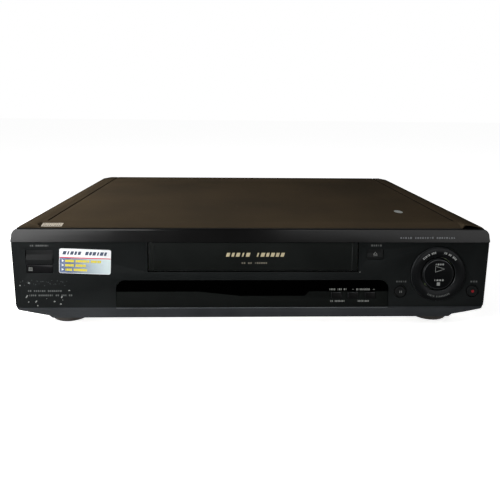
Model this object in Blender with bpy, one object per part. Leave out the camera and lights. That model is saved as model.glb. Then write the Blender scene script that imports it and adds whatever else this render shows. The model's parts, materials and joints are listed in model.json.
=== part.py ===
"""Front-loading VHS video cassette recorder, full width, as separate pieces with real joints.

Frame: metres, +X to the viewer's right, -Y towards the viewer, +Z up.
The origin is on the table under the middle.
Housing, front panel with its controls, circuit boards, rear sockets, and the tape deck with its lift.
"""

import math

import bmesh
import bpy
from mathutils import Matrix, Vector

MM = 0.001
DEG = math.pi / 180

# Driving dimensions
WIDTH = 433.4 * MM
DEPTH = 290 * MM
HEIGHT = 96 * MM
SEAT_GAP = 0.3 * MM
OVERRUN = 2 * MM
SHEET = 1 * MM
BOARD_THICK = 1.6 * MM
KEY_GAP = 0.35 * MM
SIDE_X = WIDTH / 2
FRONT_Y = -DEPTH / 2
REAR_Y = DEPTH / 2


def from_left(insets):
    """Places across the front, measured inwards from the left side."""
    return tuple(inset - SIDE_X for inset in insets)


def from_right(insets):
    """Places across the front, measured inwards from the right side."""
    return tuple(SIDE_X - inset for inset in insets)


def from_front(setbacks):
    """Places along the depth, measured back from the front."""
    return tuple(FRONT_Y + setback for setback in setbacks)


def from_rear(setbacks):
    """Places along the depth, measured forwards from the rear."""
    return tuple(REAR_Y - setback for setback in setbacks)


# Round pieces: number of sides
FINE_STEPS = 48
ROUND_STEPS = 28
SMALL_STEPS = 16
CORNER_STEPS = 4
SMOOTH_ANGLE = 30 * DEG

# Front panel
RING_PROUD = 0.8 * MM
BAND_PROUD = 1.6 * MM
BAND_FACE_Y = FRONT_Y + RING_PROUD
FIELD_Y = BAND_FACE_Y + BAND_PROUD
PANEL_WALL = 3 * MM
PLATE_BACK_Y = FIELD_Y + PANEL_WALL
PANEL_DEPTH = 16 * MM
PANEL_BACK_Y = BAND_FACE_Y + PANEL_DEPTH
PANEL_TOP_DROP = 3.6 * MM
PANEL_TOP_Z = HEIGHT - PANEL_TOP_DROP
PANEL_BOTTOM_Z = 10.3 * MM
BAND_HEIGHT = 12.4 * MM
BAND_BOTTOM_Z = PANEL_TOP_Z - BAND_HEIGHT
BAND_LEAN = 0.2 * MM
SIDE_TAPER = 2.6 * MM
WIDEST_DROP = 2 * MM
BROW_INSET = 0.9 * MM
BROW_EASE = 0.25 * MM
STRIP_TOP_Z = 19 * MM
STRIP_LEAN = 0.5 * MM
STRIP_EDGE = 0.7 * MM
TOP_ROUND = 1.6 * MM
TOP_TRIM = 0.2 * MM
LIP_DEPTH = 2 * MM
LIP_BACK_Y = BAND_FACE_Y + LIP_DEPTH
FLANGE_DROP = 2 * MM
FLANGE_TOP_Z = PANEL_TOP_Z - FLANGE_DROP
FLANGE_WALL = 2 * MM
LOW_FLANGE_TOP_Z = 15 * MM
PANEL_CORNER = 7.5 * MM
FLANGE_TRIM = 0.5 * MM
FLANGE_CORNER = 8 * MM
SHOULDER_FROM_RIGHT = 20.7 * MM
STEP_OUTER_FROM_RIGHT = 32.7 * MM
STEP_INNER_FROM_RIGHT = 35.7 * MM
SHOULDER_X = SIDE_X - SHOULDER_FROM_RIGHT
STEP_OUTER_X = SIDE_X - STEP_OUTER_FROM_RIGHT
STEP_INNER_X = SIDE_X - STEP_INNER_FROM_RIGHT
STEP_RISE = 2.2 * MM
SHOULDER_RISE = 4.2 * MM
BOTTOM_CORNER_RISE = 6.6 * MM
BOTTOM_CORNER = 5.5 * MM
RETURN_WALL = 2 * MM
RETURN_BOTTOM_Z = 24 * MM
RETURN_DROP = 8.4 * MM
RETURN_TOP_Z = PANEL_TOP_Z - RETURN_DROP
BOSS_SIDE = 4 * MM
ROOT = 1 * MM

# Top cover
COVER_OVERHANG = 3.7 * MM
COVER_X = SIDE_X - COVER_OVERHANG
COVER_GAP = 0.8 * MM
COVER_FRONT_Y = LIP_BACK_Y + COVER_GAP
FLANGE_X = COVER_X - SHEET - SEAT_GAP
COVER_REAR_Y = REAR_Y
COVER_BOTTOM_Z = 12.5 * MM
COVER_ROUND = 6.5 * MM
BORDER_INSET = 15 * MM
BORDER_X = COVER_X - BORDER_INSET
BORDER_FALL = 1.6 * MM
CREASE_INSET = 24.5 * MM
CREASE_X = COVER_X - CREASE_INSET
CREASE_WIDTH = 0.9 * MM
CREASE_DEPTH = 0.7 * MM
CREASE_RUN = 3 * MM
FOLD_INSET = 19.6 * MM
FOLD_X = COVER_X - FOLD_INSET
FOLD_WIDTH = 2.4 * MM
FRONT_STRIP = 11.8 * MM
FRONT_CREASE_Y = COVER_FRONT_Y + FRONT_STRIP
FRONT_FALL = 3.1 * MM
FRONT_EASE = 0.15 * MM
STRIP_SHARES = (0, 0.25, 0.5, 0.75, 1)
VENT_COUNT = 14
VENT_PITCH = 8 * MM
VENT_WIDTH = 3 * MM
VENT_LOW_Z = 45 * MM
VENT_HIGH_Z = 75 * MM
VENT_MIDDLE_FROM_REAR = 85 * MM
VENT_MIDDLE_Y = REAR_Y - VENT_MIDDLE_FROM_REAR

# Chassis tray
TRAY_BOTTOM_Z = 9.5 * MM
TRAY_TOP_Z = TRAY_BOTTOM_Z + SHEET
TRAY_X = COVER_X - SHEET - 2 * SEAT_GAP
TRAY_FRONT_Y = PANEL_BACK_Y + SEAT_GAP
TRAY_FROM_REAR = 4 * MM
TRAY_REAR_Y = REAR_Y - TRAY_FROM_REAR
TRAY_WALL_Z = 20 * MM
TRAY_REAR_WALL_Z = 14 * MM
TRAY_SLOT_COUNT = 9
TRAY_SLOT_PITCH = 9 * MM
TRAY_SLOT_WIDTH = 4 * MM
TRAY_SLOT_LENGTH = 46 * MM
TRAY_SLOT_FROM_RIGHT = 96.7 * MM
TRAY_SLOT_X = SIDE_X - TRAY_SLOT_FROM_RIGHT
TRAY_SLOT_FROM_REAR = 105 * MM
TRAY_SLOT_Y = REAR_Y - TRAY_SLOT_FROM_REAR
STAND_OFF = 3 * MM
STAND_RADIUS = 3 * MM
BOARD_BOTTOM_Z = TRAY_TOP_Z + STAND_OFF
BOARD_TOP_Z = BOARD_BOTTOM_Z + BOARD_THICK

# Feet
FOOT_RADIUS = 17.5 * MM
FOOT_FROM_RIGHT = 43.2 * MM
FOOT_X = SIDE_X - FOOT_FROM_RIGHT
FRONT_FOOT_FROM_FRONT = 32.5 * MM
FRONT_FOOT_Y = FRONT_Y + FRONT_FOOT_FROM_FRONT
REAR_FOOT_FROM_REAR = 33 * MM
REAR_FOOT_Y = REAR_Y - REAR_FOOT_FROM_REAR
FOOT_RIM = 3 * MM
FOOT_RECESS = 1.2 * MM
FOOT_ROUND = 1 * MM
FOOT_TOP_Z = TRAY_BOTTOM_Z - SEAT_GAP

# Rear panel
REAR_SHEET_Y = TRAY_REAR_Y + SEAT_GAP
REAR_PANEL_BOTTOM_Z = TRAY_BOTTOM_Z
REAR_PANEL_DROP = 3.2 * MM
REAR_PANEL_TOP_Z = HEIGHT - REAR_PANEL_DROP
REAR_PANEL_X = COVER_X - SHEET - SEAT_GAP
REAR_CORNER = 5 * MM
REAR_CUT_GAP = 0.5 * MM
REAR_VENT_COUNT = 12
REAR_VENT_PITCH = 6 * MM
REAR_VENT_WIDTH = 3 * MM
REAR_VENT_FROM_LEFT = 146.7 * MM
REAR_VENT_X = REAR_VENT_FROM_LEFT - SIDE_X
REAR_VENT_LOW_Z = 60 * MM
REAR_VENT_HIGH_Z = 80 * MM

# Display window
WINDOW_FROM_RIGHT = 92.5 * MM
WINDOW_X = SIDE_X - WINDOW_FROM_RIGHT
WINDOW_BOTTOM_Z = 19.3 * MM
WINDOW_TOP_Z = 44 * MM
WINDOW_CORNER = 8 * MM
WINDOW_SPLIT_Z = 31 * MM
WINDOW_RECESS = 0.2 * MM
WINDOW_LEAN = 0.9 * MM
WINDOW_THICK = 2.2 * MM

# Sensor window
SENSOR_FROM_LEFT = (13.3 * MM, 36.2 * MM)
SENSOR_X = from_left(SENSOR_FROM_LEFT)
SENSOR_Z = (51.6 * MM, 58.4 * MM)
SENSOR_CORNER = 0.8 * MM

# Cassette door and its hinge
DOOR_X = 95.3 * MM
DOOR_TOP_GAP = 0.9 * MM
DOOR_TOP_Z = BAND_BOTTOM_Z - DOOR_TOP_GAP
DOOR_HEIGHT = 26.4 * MM
DOOR_BOTTOM_Z = DOOR_TOP_Z - DOOR_HEIGHT
DOOR_GAP = 0.6 * MM
DOOR_THICK = 2 * MM
DOOR_RECESS = 0.4 * MM
DOOR_FACE_Y = FIELD_Y + DOOR_RECESS
DOOR_BACK_Y = DOOR_FACE_Y + DOOR_THICK
DOOR_RIDGE = 4.7 * MM
DOOR_RIDGE_HEIGHT = 0.5 * MM
DOOR_RIDGE_LEAN = 0.6 * MM
DOOR_AXIS_DEPTH = 0.8 * MM
DOOR_AXIS_Y = DOOR_BACK_Y - DOOR_AXIS_DEPTH
DOOR_AXIS_RISE = 1.8 * MM
DOOR_AXIS_Z = DOOR_TOP_Z + DOOR_AXIS_RISE
DOOR_PIN_RADIUS = 1.2 * MM
DOOR_PIN_LENGTH = 3.4 * MM
DOOR_PIN_FIT = 0.3 * MM
DOOR_ARM = 3 * MM
DOOR_ARM_RADIUS = 1.5 * MM
DOOR_ARM_DROP = 5 * MM
EAR_WIDTH = 4 * MM
EAR_BACK = 5 * MM
EAR_REACH = 3.5 * MM
POCKET_WALL = 1.4 * MM

# Power and eject buttons
POWER_FROM_LEFT = (12.7 * MM, 36.7 * MM)
POWER_X = from_left(POWER_FROM_LEFT)
POWER_Z = (59.4 * MM, 72.3 * MM)
POWER_RIDGE_Z = 63.7 * MM
EJECT_FROM_DOOR = (8.3 * MM, 23.3 * MM)
EJECT_X = tuple(DOOR_X + gap for gap in EJECT_FROM_DOOR)
EJECT_Z = (63.9 * MM, 73.1 * MM)
EJECT_RIDGE_Z = 66.2 * MM
KEY_PROUD = 0.9 * MM
KEY_FOOT_PROUD = 0.3 * MM
KEY_DISH = 0.8 * MM
KEY_TOP_DISH = 0.27 * MM
KEY_CORNER = 1.2 * MM
KEY_BACK_FROM_FRONT = 8.8 * MM
KEY_BACK_Y = FRONT_Y + KEY_BACK_FROM_FRONT

# Shuttle ring, play and stop rocker, pause and record buttons
RING_FROM_RIGHT = 46.7 * MM
RING_X = SIDE_X - RING_FROM_RIGHT
RING_Z = 50.1 * MM
RING_RADIUS = 25.5 * MM
RING_BORE = 15.9 * MM
RING_CHAMFER = 1.4 * MM
RING_EDGE = 0.7 * MM
RING_DISH = 0.6 * MM
RING_BACK_FROM_FRONT = 9.4 * MM
RING_BACK_Y = FRONT_Y + RING_BACK_FROM_FRONT
RING_FIT = 0.3 * MM
ROCKER_GAP = 1.1 * MM
ROCKER_RADIUS = RING_BORE - ROCKER_GAP
ROCKER_RECESS = 0.6 * MM
ROCKER_ROUND = 1.2 * MM
ROCKER_DEPTH = 6 * MM
ROCKER_STEM_RADIUS = 3 * MM
PAUSE_FROM_RIGHT = 81.2 * MM
RECORD_FROM_RIGHT = 13.8 * MM
PAUSE_X = SIDE_X - PAUSE_FROM_RIGHT
RECORD_X = SIDE_X - RECORD_FROM_RIGHT
PAUSE_Z = 33.2 * MM
RECORD_Z = 33.7 * MM
DOT_RADIUS = 5.5 * MM
DOT_ROUND = 0.7 * MM
DOT_PROUD = 1 * MM

# Three small buttons in the window
SMALL_KEY_FROM_END = (47.9 * MM, 32.6 * MM, 16.9 * MM)
SMALL_KEY_X = tuple(WINDOW_X - inset for inset in SMALL_KEY_FROM_END)
SMALL_KEY_WIDTH = 9.2 * MM
SMALL_KEY_Z = (27.1 * MM, 32.8 * MM)
SMALL_KEY_PROUD = 0.5 * MM

# Boards behind the front panel
FRONT_BOARD_FROM_FRONT = 11 * MM
FRONT_BOARD_Y = FRONT_Y + FRONT_BOARD_FROM_FRONT
FRONT_BOARD_BACK_Y = FRONT_BOARD_Y + BOARD_THICK
DISPLAY_BOARD_REACH = 6.8 * MM
DISPLAY_BOARD_X = WINDOW_X + DISPLAY_BOARD_REACH
DISPLAY_BOARD_Z = (16 * MM, 46.5 * MM)
DISPLAY_TUBE_X = (-62 * MM, 40 * MM)
DISPLAY_TUBE_Z = (31 * MM, 43.4 * MM)
DISPLAY_TUBE_THICK = 4.6 * MM
LEFT_BOARD_FROM_LEFT = (8.2 * MM, 66.7 * MM)
LEFT_BOARD_X = from_left(LEFT_BOARD_FROM_LEFT)
LEFT_BOARD_Z = (46 * MM, 78 * MM)
RIGHT_BOARD_GAP = 5.7 * MM
RIGHT_BOARD_FROM_RIGHT = 8.2 * MM
RIGHT_BOARD_X = (DOOR_X + RIGHT_BOARD_GAP, SIDE_X - RIGHT_BOARD_FROM_RIGHT)
RIGHT_BOARD_Z = (22 * MM, 79 * MM)
BOSS_INSET = 2.5 * MM
BOARD_GAP = 2 * MM
RIGHT_BOARD_NOTCH_X = DISPLAY_BOARD_X + BOARD_GAP
RIGHT_BOARD_NOTCH_Z = DISPLAY_BOARD_Z[1] + BOARD_GAP
RIGHT_BOSS_X = 140 * MM
RIGHT_BOSS_Z = 57 * MM

# Boards on the tray
BOARD_EDGE = 8.7 * MM
BOARD_SPLIT = 4 * MM
BOARD_FROM_REAR = 6.4 * MM
MAIN_BOARD_FROM_LEFT = 110.7 * MM
MAIN_BOARD_FROM_FRONT = 23 * MM
POWER_BOARD_FROM_REAR = 165 * MM
MAIN_BOARD_X = (MAIN_BOARD_FROM_LEFT - SIDE_X, SIDE_X - BOARD_EDGE)
MAIN_BOARD_Y = (FRONT_Y + MAIN_BOARD_FROM_FRONT, REAR_Y - BOARD_FROM_REAR)
POWER_BOARD_X = (BOARD_EDGE - SIDE_X, MAIN_BOARD_X[0] - BOARD_SPLIT)
POWER_BOARD_Y = (REAR_Y - POWER_BOARD_FROM_REAR, REAR_Y - BOARD_FROM_REAR)
STAND_INSET = 8 * MM

# Power supply parts
TRANSFORMER_FROM_LEFT = (38.7 * MM, 70.7 * MM)
TRANSFORMER_X = from_left(TRANSFORMER_FROM_LEFT)
TRANSFORMER_FROM_REAR = (95 * MM, 63 * MM)
TRANSFORMER_Y = from_rear(TRANSFORMER_FROM_REAR)
TRANSFORMER_HEIGHT = 30 * MM
CORE_THICK = 8 * MM
CORE_OVERHANG = 4 * MM
CAPACITOR_FROM_LEFT = 51.7 * MM
CAPACITOR_X = CAPACITOR_FROM_LEFT - SIDE_X
CAPACITOR_FROM_REAR = 127 * MM
CAPACITOR_Y = REAR_Y - CAPACITOR_FROM_REAR
CAPACITOR_RADIUS = 12.5 * MM
CAPACITOR_HEIGHT = 42 * MM
CAPACITOR_ROUND = 1.2 * MM
SINK_FROM_LEFT = (80.7 * MM, 98.7 * MM)
SINK_X = from_left(SINK_FROM_LEFT)
SINK_FROM_REAR = (115 * MM, 61 * MM)
SINK_Y = from_rear(SINK_FROM_REAR)
SINK_HEIGHT = 46 * MM
SINK_WALL = 2 * MM
SINK_FIN_COUNT = 7

# Rear sockets
SCART_WIDTH = 47 * MM
SCART_HEIGHT = 13 * MM
SCART_BOTTOM_Z = 24 * MM
SCART_DEPTH = 16 * MM
SCART_SLANT = 4 * MM
SCART_WALL = 2 * MM
SCART_MOUTH_DEPTH = 8 * MM
SCART_PLUG_GAP = 3 * MM
SCART_ROOT = 1 * MM
SOCKET_FACE_FROM_REAR = 0.8 * MM
SOCKET_FACE_Y = REAR_Y - SOCKET_FACE_FROM_REAR
TUNER_FROM_RIGHT = (98.7 * MM, 38.7 * MM)
TUNER_X = from_right(TUNER_FROM_RIGHT)
TUNER_FRONT_FROM_REAR = 49 * MM
TUNER_FRONT_Y = REAR_Y - TUNER_FRONT_FROM_REAR
TUNER_TOP_Z = 46 * MM
COAX_RADIUS = 4.8 * MM
COAX_BORE = 1.9 * MM
COAX_SPACING = 26 * MM
COAX_Z = 32 * MM
COAX_DEPTH = 6 * MM
PHONO_FROM_TUNER = (52 * MM, 20 * MM)
PHONO_X = tuple(TUNER_X[0] - gap for gap in PHONO_FROM_TUNER)
PHONO_FRONT_FROM_REAR = 17 * MM
PHONO_FRONT_Y = REAR_Y - PHONO_FRONT_FROM_REAR
PHONO_TOP_Z = 38 * MM
PHONO_Z = 28 * MM
PHONO_SPACING = 16 * MM
PHONO_RADIUS = 4.2 * MM
PHONO_BORE = 2.4 * MM
SCART_FROM_PHONO = (110 * MM, 52 * MM)
SCART_X = tuple(PHONO_X[0] - gap for gap in SCART_FROM_PHONO)
INLET_FROM_LEFT = 30.7 * MM
INLET_X = INLET_FROM_LEFT - SIDE_X
INLET_Z = 28 * MM
INLET_WIDTH = 24 * MM
INLET_HEIGHT = 17 * MM
INLET_FRONT_FROM_REAR = 23 * MM
INLET_FRONT_Y = REAR_Y - INLET_FRONT_FROM_REAR
INLET_PIN_RADIUS = 1.1 * MM
INLET_LOBE = 4.4 * MM
INLET_SPACING = 8.6 * MM
INLET_DEPTH = 14 * MM

# Tape deck plate
DECK_X = 106 * MM
DECK_FROM_FRONT = (27 * MM, 243 * MM)
DECK_Y = from_front(DECK_FROM_FRONT)
DECK_BOTTOM_Z = 24 * MM
DECK_THICK = 1.5 * MM
DECK_TOP_Z = DECK_BOTTOM_Z + DECK_THICK
ON_DECK_Z = DECK_TOP_Z + SEAT_GAP
DECK_CORNER = 5 * MM
DECK_LEG_RADIUS = 4 * MM
DECK_LEG_INSET = 8 * MM

# Video drum
DRUM_X = -6 * MM
DRUM_FROM_FRONT = 199 * MM
DRUM_Y = FRONT_Y + DRUM_FROM_FRONT
DRUM_RADIUS = 31 * MM
DRUM_TILT = 5.9 * DEG
DRUM_BASE_Z = 29.5 * MM
DRUM_LEAD_HEIGHT = 6.2 * MM
DRUM_SPLIT_Z = 48 * MM
DRUM_TOP_Z = 64 * MM
DRUM_LEAD_STEP = 0.5 * MM
DRUM_ROUND = 0.8 * MM
DRUM_HUB_RADIUS = 11 * MM
DRUM_HUB_RISE = 3 * MM
DRUM_CUP_DEPTH = 2 * MM
DRUM_CUP_RADIUS = 25 * MM
DRUM_FOOT_RADIUS = 27 * MM

# Reel tables
REEL_X = 46 * MM
REEL_FROM_FRONT = 87 * MM
REEL_Y = FRONT_Y + REEL_FROM_FRONT
REEL_RADIUS = 22 * MM
REEL_FLANGE_Z = 30.5 * MM
REEL_HUB_RADIUS = 10 * MM
REEL_HUB_Z = 34 * MM
SPINDLE_RADIUS = 5.4 * MM
SPINDLE_Z = 44 * MM
SPINDLE_TIP = 2 * MM
REEL_FIT = 0.5 * MM

# Capstan and pinch roller
CAPSTAN_X = 48 * MM
CAPSTAN_FROM_FRONT = 161 * MM
CAPSTAN_Y = FRONT_Y + CAPSTAN_FROM_FRONT
CAPSTAN_RADIUS = 1.5 * MM
CAPSTAN_TOP_Z = 52 * MM
FLYWHEEL_RADIUS = 25 * MM
FLYWHEEL_Z = (18 * MM, 22.8 * MM)
BEARING_RADIUS = 3.6 * MM
BEARING_FIT = 0.3 * MM
BEARING_TOP_Z = 29.8 * MM
STATOR_X = (20 * MM, 76 * MM)
STATOR_FROM_FRONT = (133 * MM, 189 * MM)
STATOR_Y = from_front(STATOR_FROM_FRONT)
STATOR_TOP_Z = 17.2 * MM
PINCH_RADIUS = 6.5 * MM
PINCH_GAP = 0.4 * MM
PINCH_Z = (30.2 * MM, 48 * MM)
PINCH_ARM_LENGTH = 22 * MM
PINCH_ARM_WIDTH = 8 * MM
PINCH_ARM_Z = (26.4 * MM, 29.8 * MM)
PINCH_REST_SWING = 35 * DEG
PINCH_PIN_RADIUS = 1.5 * MM
PINCH_PIN_TOP_Z = 50 * MM
PINCH_PIVOT_RADIUS = 2 * MM
PINCH_PIVOT_TOP_Z = 33 * MM
PINCH_FIT = 0.3 * MM

# Loading guides
GUIDE_REST_FROM_FRONT = 141 * MM
GUIDE_END_FROM_FRONT = 207 * MM
GUIDE_REST = (-30 * MM, FRONT_Y + GUIDE_REST_FROM_FRONT)
GUIDE_END = (-48 * MM, FRONT_Y + GUIDE_END_FROM_FRONT)
GUIDE_BASE = 9 * MM
GUIDE_BASE_TOP_Z = 29.5 * MM
GUIDE_POST_RADIUS = 3 * MM
GUIDE_FLANGE_RADIUS = 4 * MM
GUIDE_FLANGE = 1.2 * MM
GUIDE_TOP_Z = 50 * MM
GUIDE_SLOT = 3 * MM

# Fixed heads and loading motor
ERASE_HEAD_FROM_FRONT = 171 * MM
AUDIO_HEAD_FROM_FRONT = 191 * MM
ERASE_HEAD = (-68 * MM, FRONT_Y + ERASE_HEAD_FROM_FRONT)
AUDIO_HEAD = (60 * MM, FRONT_Y + AUDIO_HEAD_FROM_FRONT)
HEAD_WIDTH = 13 * MM
HEAD_DEPTH = 9 * MM
HEAD_BULGE = 2.5 * MM
HEAD_TOP_Z = 48 * MM
HEAD_FOOT = 3 * MM
HEAD_FOOT_THICK = 2 * MM
LOADING_MOTOR_X = (74 * MM, 101 * MM)
LOADING_MOTOR_FROM_FRONT = 223 * MM
LOADING_MOTOR_Y = FRONT_Y + LOADING_MOTOR_FROM_FRONT
LOADING_MOTOR_RADIUS = 12 * MM
LOADING_SHAFT_RADIUS = 1.2 * MM
LOADING_SHAFT = 8 * MM
MOTOR_CRADLE = 3 * MM

# Cassette lift
CASSETTE_WIDTH = 187 * MM
CASSETTE_HEIGHT = 25 * MM
CASSETTE_SILL = 0.9 * MM
CASSETTE_FLOOR_Z = DOOR_BOTTOM_Z + CASSETTE_SILL
BAY_FIT = 0.8 * MM
LIFT_FROM_FRONT = (33.5 * MM, 111 * MM)
LIFT_FRONT_Y, LIFT_REAR_Y = from_front(LIFT_FROM_FRONT)
LIFT_IN = 38 * MM
LIFT_DOWN = 20 * MM
HOLDER_X = CASSETTE_WIDTH / 2 + BAY_FIT + SHEET
HOLDER_LEDGE = 14 * MM
HOLDER_TOP_Z = CASSETTE_FLOOR_Z + CASSETTE_HEIGHT + BAY_FIT + SHEET
HOLDER_TOP_SLOT = 24 * MM
CARRIAGE_GAP = 0.4 * MM
CARRIAGE_X = HOLDER_X + CARRIAGE_GAP + SHEET
CARRIAGE_DROP = 3.6 * MM
CARRIAGE_RISE = 3.1 * MM
CARRIAGE_BOTTOM_Z = CASSETTE_FLOOR_Z - CARRIAGE_DROP
CARRIAGE_TOP_Z = HOLDER_TOP_Z + CARRIAGE_RISE
CARRIAGE_TIE = 18 * MM
BRACKET_GAP = 0.5 * MM
BRACKET_SHEET = 1.2 * MM
BRACKET_INNER_X = CARRIAGE_X + BRACKET_GAP
BRACKET_X = BRACKET_INNER_X + BRACKET_SHEET
BRACKET_FROM_FRONT = (29 * MM, 157 * MM)
BRACKET_Y = from_front(BRACKET_FROM_FRONT)
BRACKET_RISE = 2.5 * MM
BRACKET_TOP_Z = CARRIAGE_TOP_Z + BRACKET_RISE
BRACKET_FOOT = 5 * MM
LIFT_PIN_RADIUS = 1.5 * MM
LIFT_PIN_FIT = 0.3 * MM
LIFT_PIN_END_GAP = 0.2 * MM
LIFT_PIN_FROM_FRONT = (47 * MM, 97 * MM)
LIFT_PIN_Y = from_front(LIFT_PIN_FROM_FRONT)
CARRIAGE_PIN_FROM_FRONT = (59 * MM, 85 * MM)
CARRIAGE_PIN_Y = from_front(CARRIAGE_PIN_FROM_FRONT)
CARRIAGE_PIN_RISE = 8.4 * MM
HOLDER_PIN_RISE = 22.4 * MM
CARRIAGE_PIN_Z = CASSETTE_FLOOR_Z + CARRIAGE_PIN_RISE
HOLDER_PIN_Z = CASSETTE_FLOOR_Z + HOLDER_PIN_RISE
CARRIAGE_FLANGE = 4 * MM

# Finishes: colour, roughness, metallic
BLACK_PLASTIC = ((0.012, 0.013, 0.013), 0.5, 0.0)
GLOSS_BLACK = ((0.006, 0.006, 0.006), 0.15, 0.0)
KEY_PLASTIC = ((0.016, 0.017, 0.018), 0.4, 0.0)
BROWN_PAINT = ((0.045, 0.034, 0.022), 0.38, 0.2)
DARK_RUBBER = ((0.03, 0.028, 0.025), 0.7, 0.0)
PLATED_STEEL = ((0.55, 0.55, 0.53), 0.35, 1.0)
CAST_ALUMINIUM = ((0.7, 0.7, 0.7), 0.3, 1.0)
CHROME = ((0.8, 0.8, 0.8), 0.12, 1.0)
CIRCUIT_BOARD = ((0.2, 0.13, 0.05), 0.6, 0.0)
WHITE_PLASTIC = ((0.75, 0.74, 0.7), 0.45, 0.0)
COPPER = ((0.55, 0.3, 0.15), 0.4, 0.8)
TUBE_GLASS = ((0.03, 0.06, 0.06), 0.08, 0.0)
ROLLER_RUBBER = ((0.015, 0.015, 0.015), 0.8, 0.0)


def clear_scene():
    for obj in list(bpy.data.objects):
        bpy.data.objects.remove(obj, do_unlink=True)


def grow(span, amount):
    """A low and high pair made wider by amount at both ends."""
    return span[0] - amount, span[1] + amount


def around(middle, size):
    """The low and high pair of a size about its middle."""
    return middle - size / 2, middle + size / 2


def place(axis, a, b, along):
    """A point from two cross coordinates and one along the axis."""
    if axis == "x":
        return along, a, b
    if axis == "y":
        return a, along, b
    return a, b, along


def arc(centre, radius, start, end, steps=CORNER_STEPS):
    """Points along an arc, both ends included."""
    angles = [start + (end - start) * i / steps for i in range(steps + 1)]
    return [(centre[0] + radius * math.cos(t), centre[1] + radius * math.sin(t)) for t in angles]


def circle(centre, radius, steps):
    return arc(centre, radius, 0, 2 * math.pi, steps)[:-1]


def rectangle(across, up):
    return [(across[0], up[0]), (across[1], up[0]), (across[1], up[1]), (across[0], up[1])]


def rounded(across, up, low_radius, high_radius):
    """A rectangle with arcs at its two lower and its two upper corners."""
    quarter = math.pi / 2
    corners = (
        (across[0] + low_radius, up[0] + low_radius, low_radius, 2 * quarter),
        (across[1] - low_radius, up[0] + low_radius, low_radius, 3 * quarter),
        (across[1] - high_radius, up[1] - high_radius, high_radius, 0),
        (across[0] + high_radius, up[1] - high_radius, high_radius, quarter),
    )
    points = []
    for x, z, radius, start in corners:
        points += arc((x, z), radius, start, start + quarter) if radius else [(x, z)]
    return points


def loft(bm, rings, closed_ends=True):
    """Join rings with the same number of points, and close both ends."""
    made = [[bm.verts.new(p) for p in ring] for ring in rings]
    count = len(made[0])
    for near, far in zip(made, made[1:]):
        for i in range(count):
            j = (i + 1) % count
            bm.faces.new((near[i], near[j], far[j], far[i]))
    if closed_ends:
        bm.faces.new(made[0])
        bm.faces.new(made[-1])
    return made


def prism(bm, outline, axis, span):
    """A flat outline drawn out along an axis."""
    loft(bm, [[place(axis, a, b, s) for a, b in outline] for s in span])


def block(bm, x, y, z):
    prism(bm, rectangle(x, y), "z", z)


def turn(bm, profile, axis, centre, steps, hollow=False):
    """Turn a profile of (radius, along) points; a hollow profile closes on itself instead of on the axis."""
    rings = []
    for radius, along in profile:
        if radius:
            rings.append([bm.verts.new(place(axis, a, b, along)) for a, b in circle(centre, radius, steps)])
        else:
            rings.append([bm.verts.new(place(axis, centre[0], centre[1], along))])
    pairs = list(zip(rings, rings[1:])) + ([(rings[-1], rings[0])] if hollow else [])
    for near, far in pairs:
        for i in range(steps):
            j = (i + 1) % steps
            if len(near) == 1:
                bm.faces.new((near[0], far[j], far[i]))
            elif len(far) == 1:
                bm.faces.new((near[i], near[j], far[0]))
            else:
                bm.faces.new((near[i], near[j], far[j], far[i]))


def rod(bm, axis, centre, radius, span, steps=SMALL_STEPS):
    prism(bm, circle(centre, radius, steps), axis, span)


def finish(name, bm, paint, origin=(0, 0, 0), smooth=False):
    """Turn a bmesh into a named object with its own material and its origin at a given point."""
    bmesh.ops.recalc_face_normals(bm, faces=bm.faces)
    mesh = bpy.data.meshes.new(name)
    bm.to_mesh(mesh)
    bm.free()
    mesh.transform(Matrix.Translation(-Vector(origin)))
    if smooth:
        mesh.shade_smooth()
        mesh.set_sharp_from_angle(angle=SMOOTH_ANGLE)
    obj = bpy.data.objects.new(name, mesh)
    obj.location = origin
    bpy.context.collection.objects.link(obj)
    colour, roughness, metallic = paint
    material = bpy.data.materials.new(name + "_finish")
    material.use_nodes = True
    shader = material.node_tree.nodes["Principled BSDF"]
    shader.inputs["Base Color"].default_value = (*colour, 1)
    shader.inputs["Roughness"].default_value = roughness
    shader.inputs["Metallic"].default_value = metallic
    mesh.materials.append(material)
    return obj


def tool(name, bm):
    """A helper shape for a Boolean, not a piece of the object."""
    bmesh.ops.recalc_face_normals(bm, faces=bm.faces)
    mesh = bpy.data.meshes.new(name)
    bm.to_mesh(mesh)
    bm.free()
    obj = bpy.data.objects.new(name, mesh)
    obj.display_type = "WIRE"
    obj.hide_render = True
    bpy.context.collection.objects.link(obj)
    return obj


def combine(obj, helper, operation="DIFFERENCE"):
    """Cut or join a helper shape, whose own parts may cross one another."""
    modifier = obj.modifiers.new(helper.name, "BOOLEAN")
    modifier.operation = operation
    modifier.solver = "EXACT"
    modifier.use_self = True
    modifier.object = helper


def panel_outline(side, taper, lift, top, corner):
    """Front outline of the panel: stepped bottom edge, sides that lean out to the band, round corners."""
    inset = SIDE_X - side
    low_side = side - taper
    bottom = PANEL_BOTTOM_Z + lift
    corner_z = bottom + BOTTOM_CORNER_RISE + BOTTOM_CORNER
    right = [
        (STEP_INNER_X - inset, bottom),
        (STEP_OUTER_X - inset, bottom + STEP_RISE),
        (SHOULDER_X - inset, bottom + SHOULDER_RISE),
    ]
    right += arc((low_side - BOTTOM_CORNER, corner_z), BOTTOM_CORNER, -math.pi / 2, 0)
    widest_z = BAND_BOTTOM_Z - WIDEST_DROP
    right += [(side, widest_z), (side - BROW_EASE, (widest_z + top - corner) / 2)]
    right += arc((side - BROW_INSET - corner, top - corner), corner, 0, math.pi / 2, 2 * CORNER_STEPS)
    return right + [(-x, z) for x, z in reversed(right)]


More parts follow.
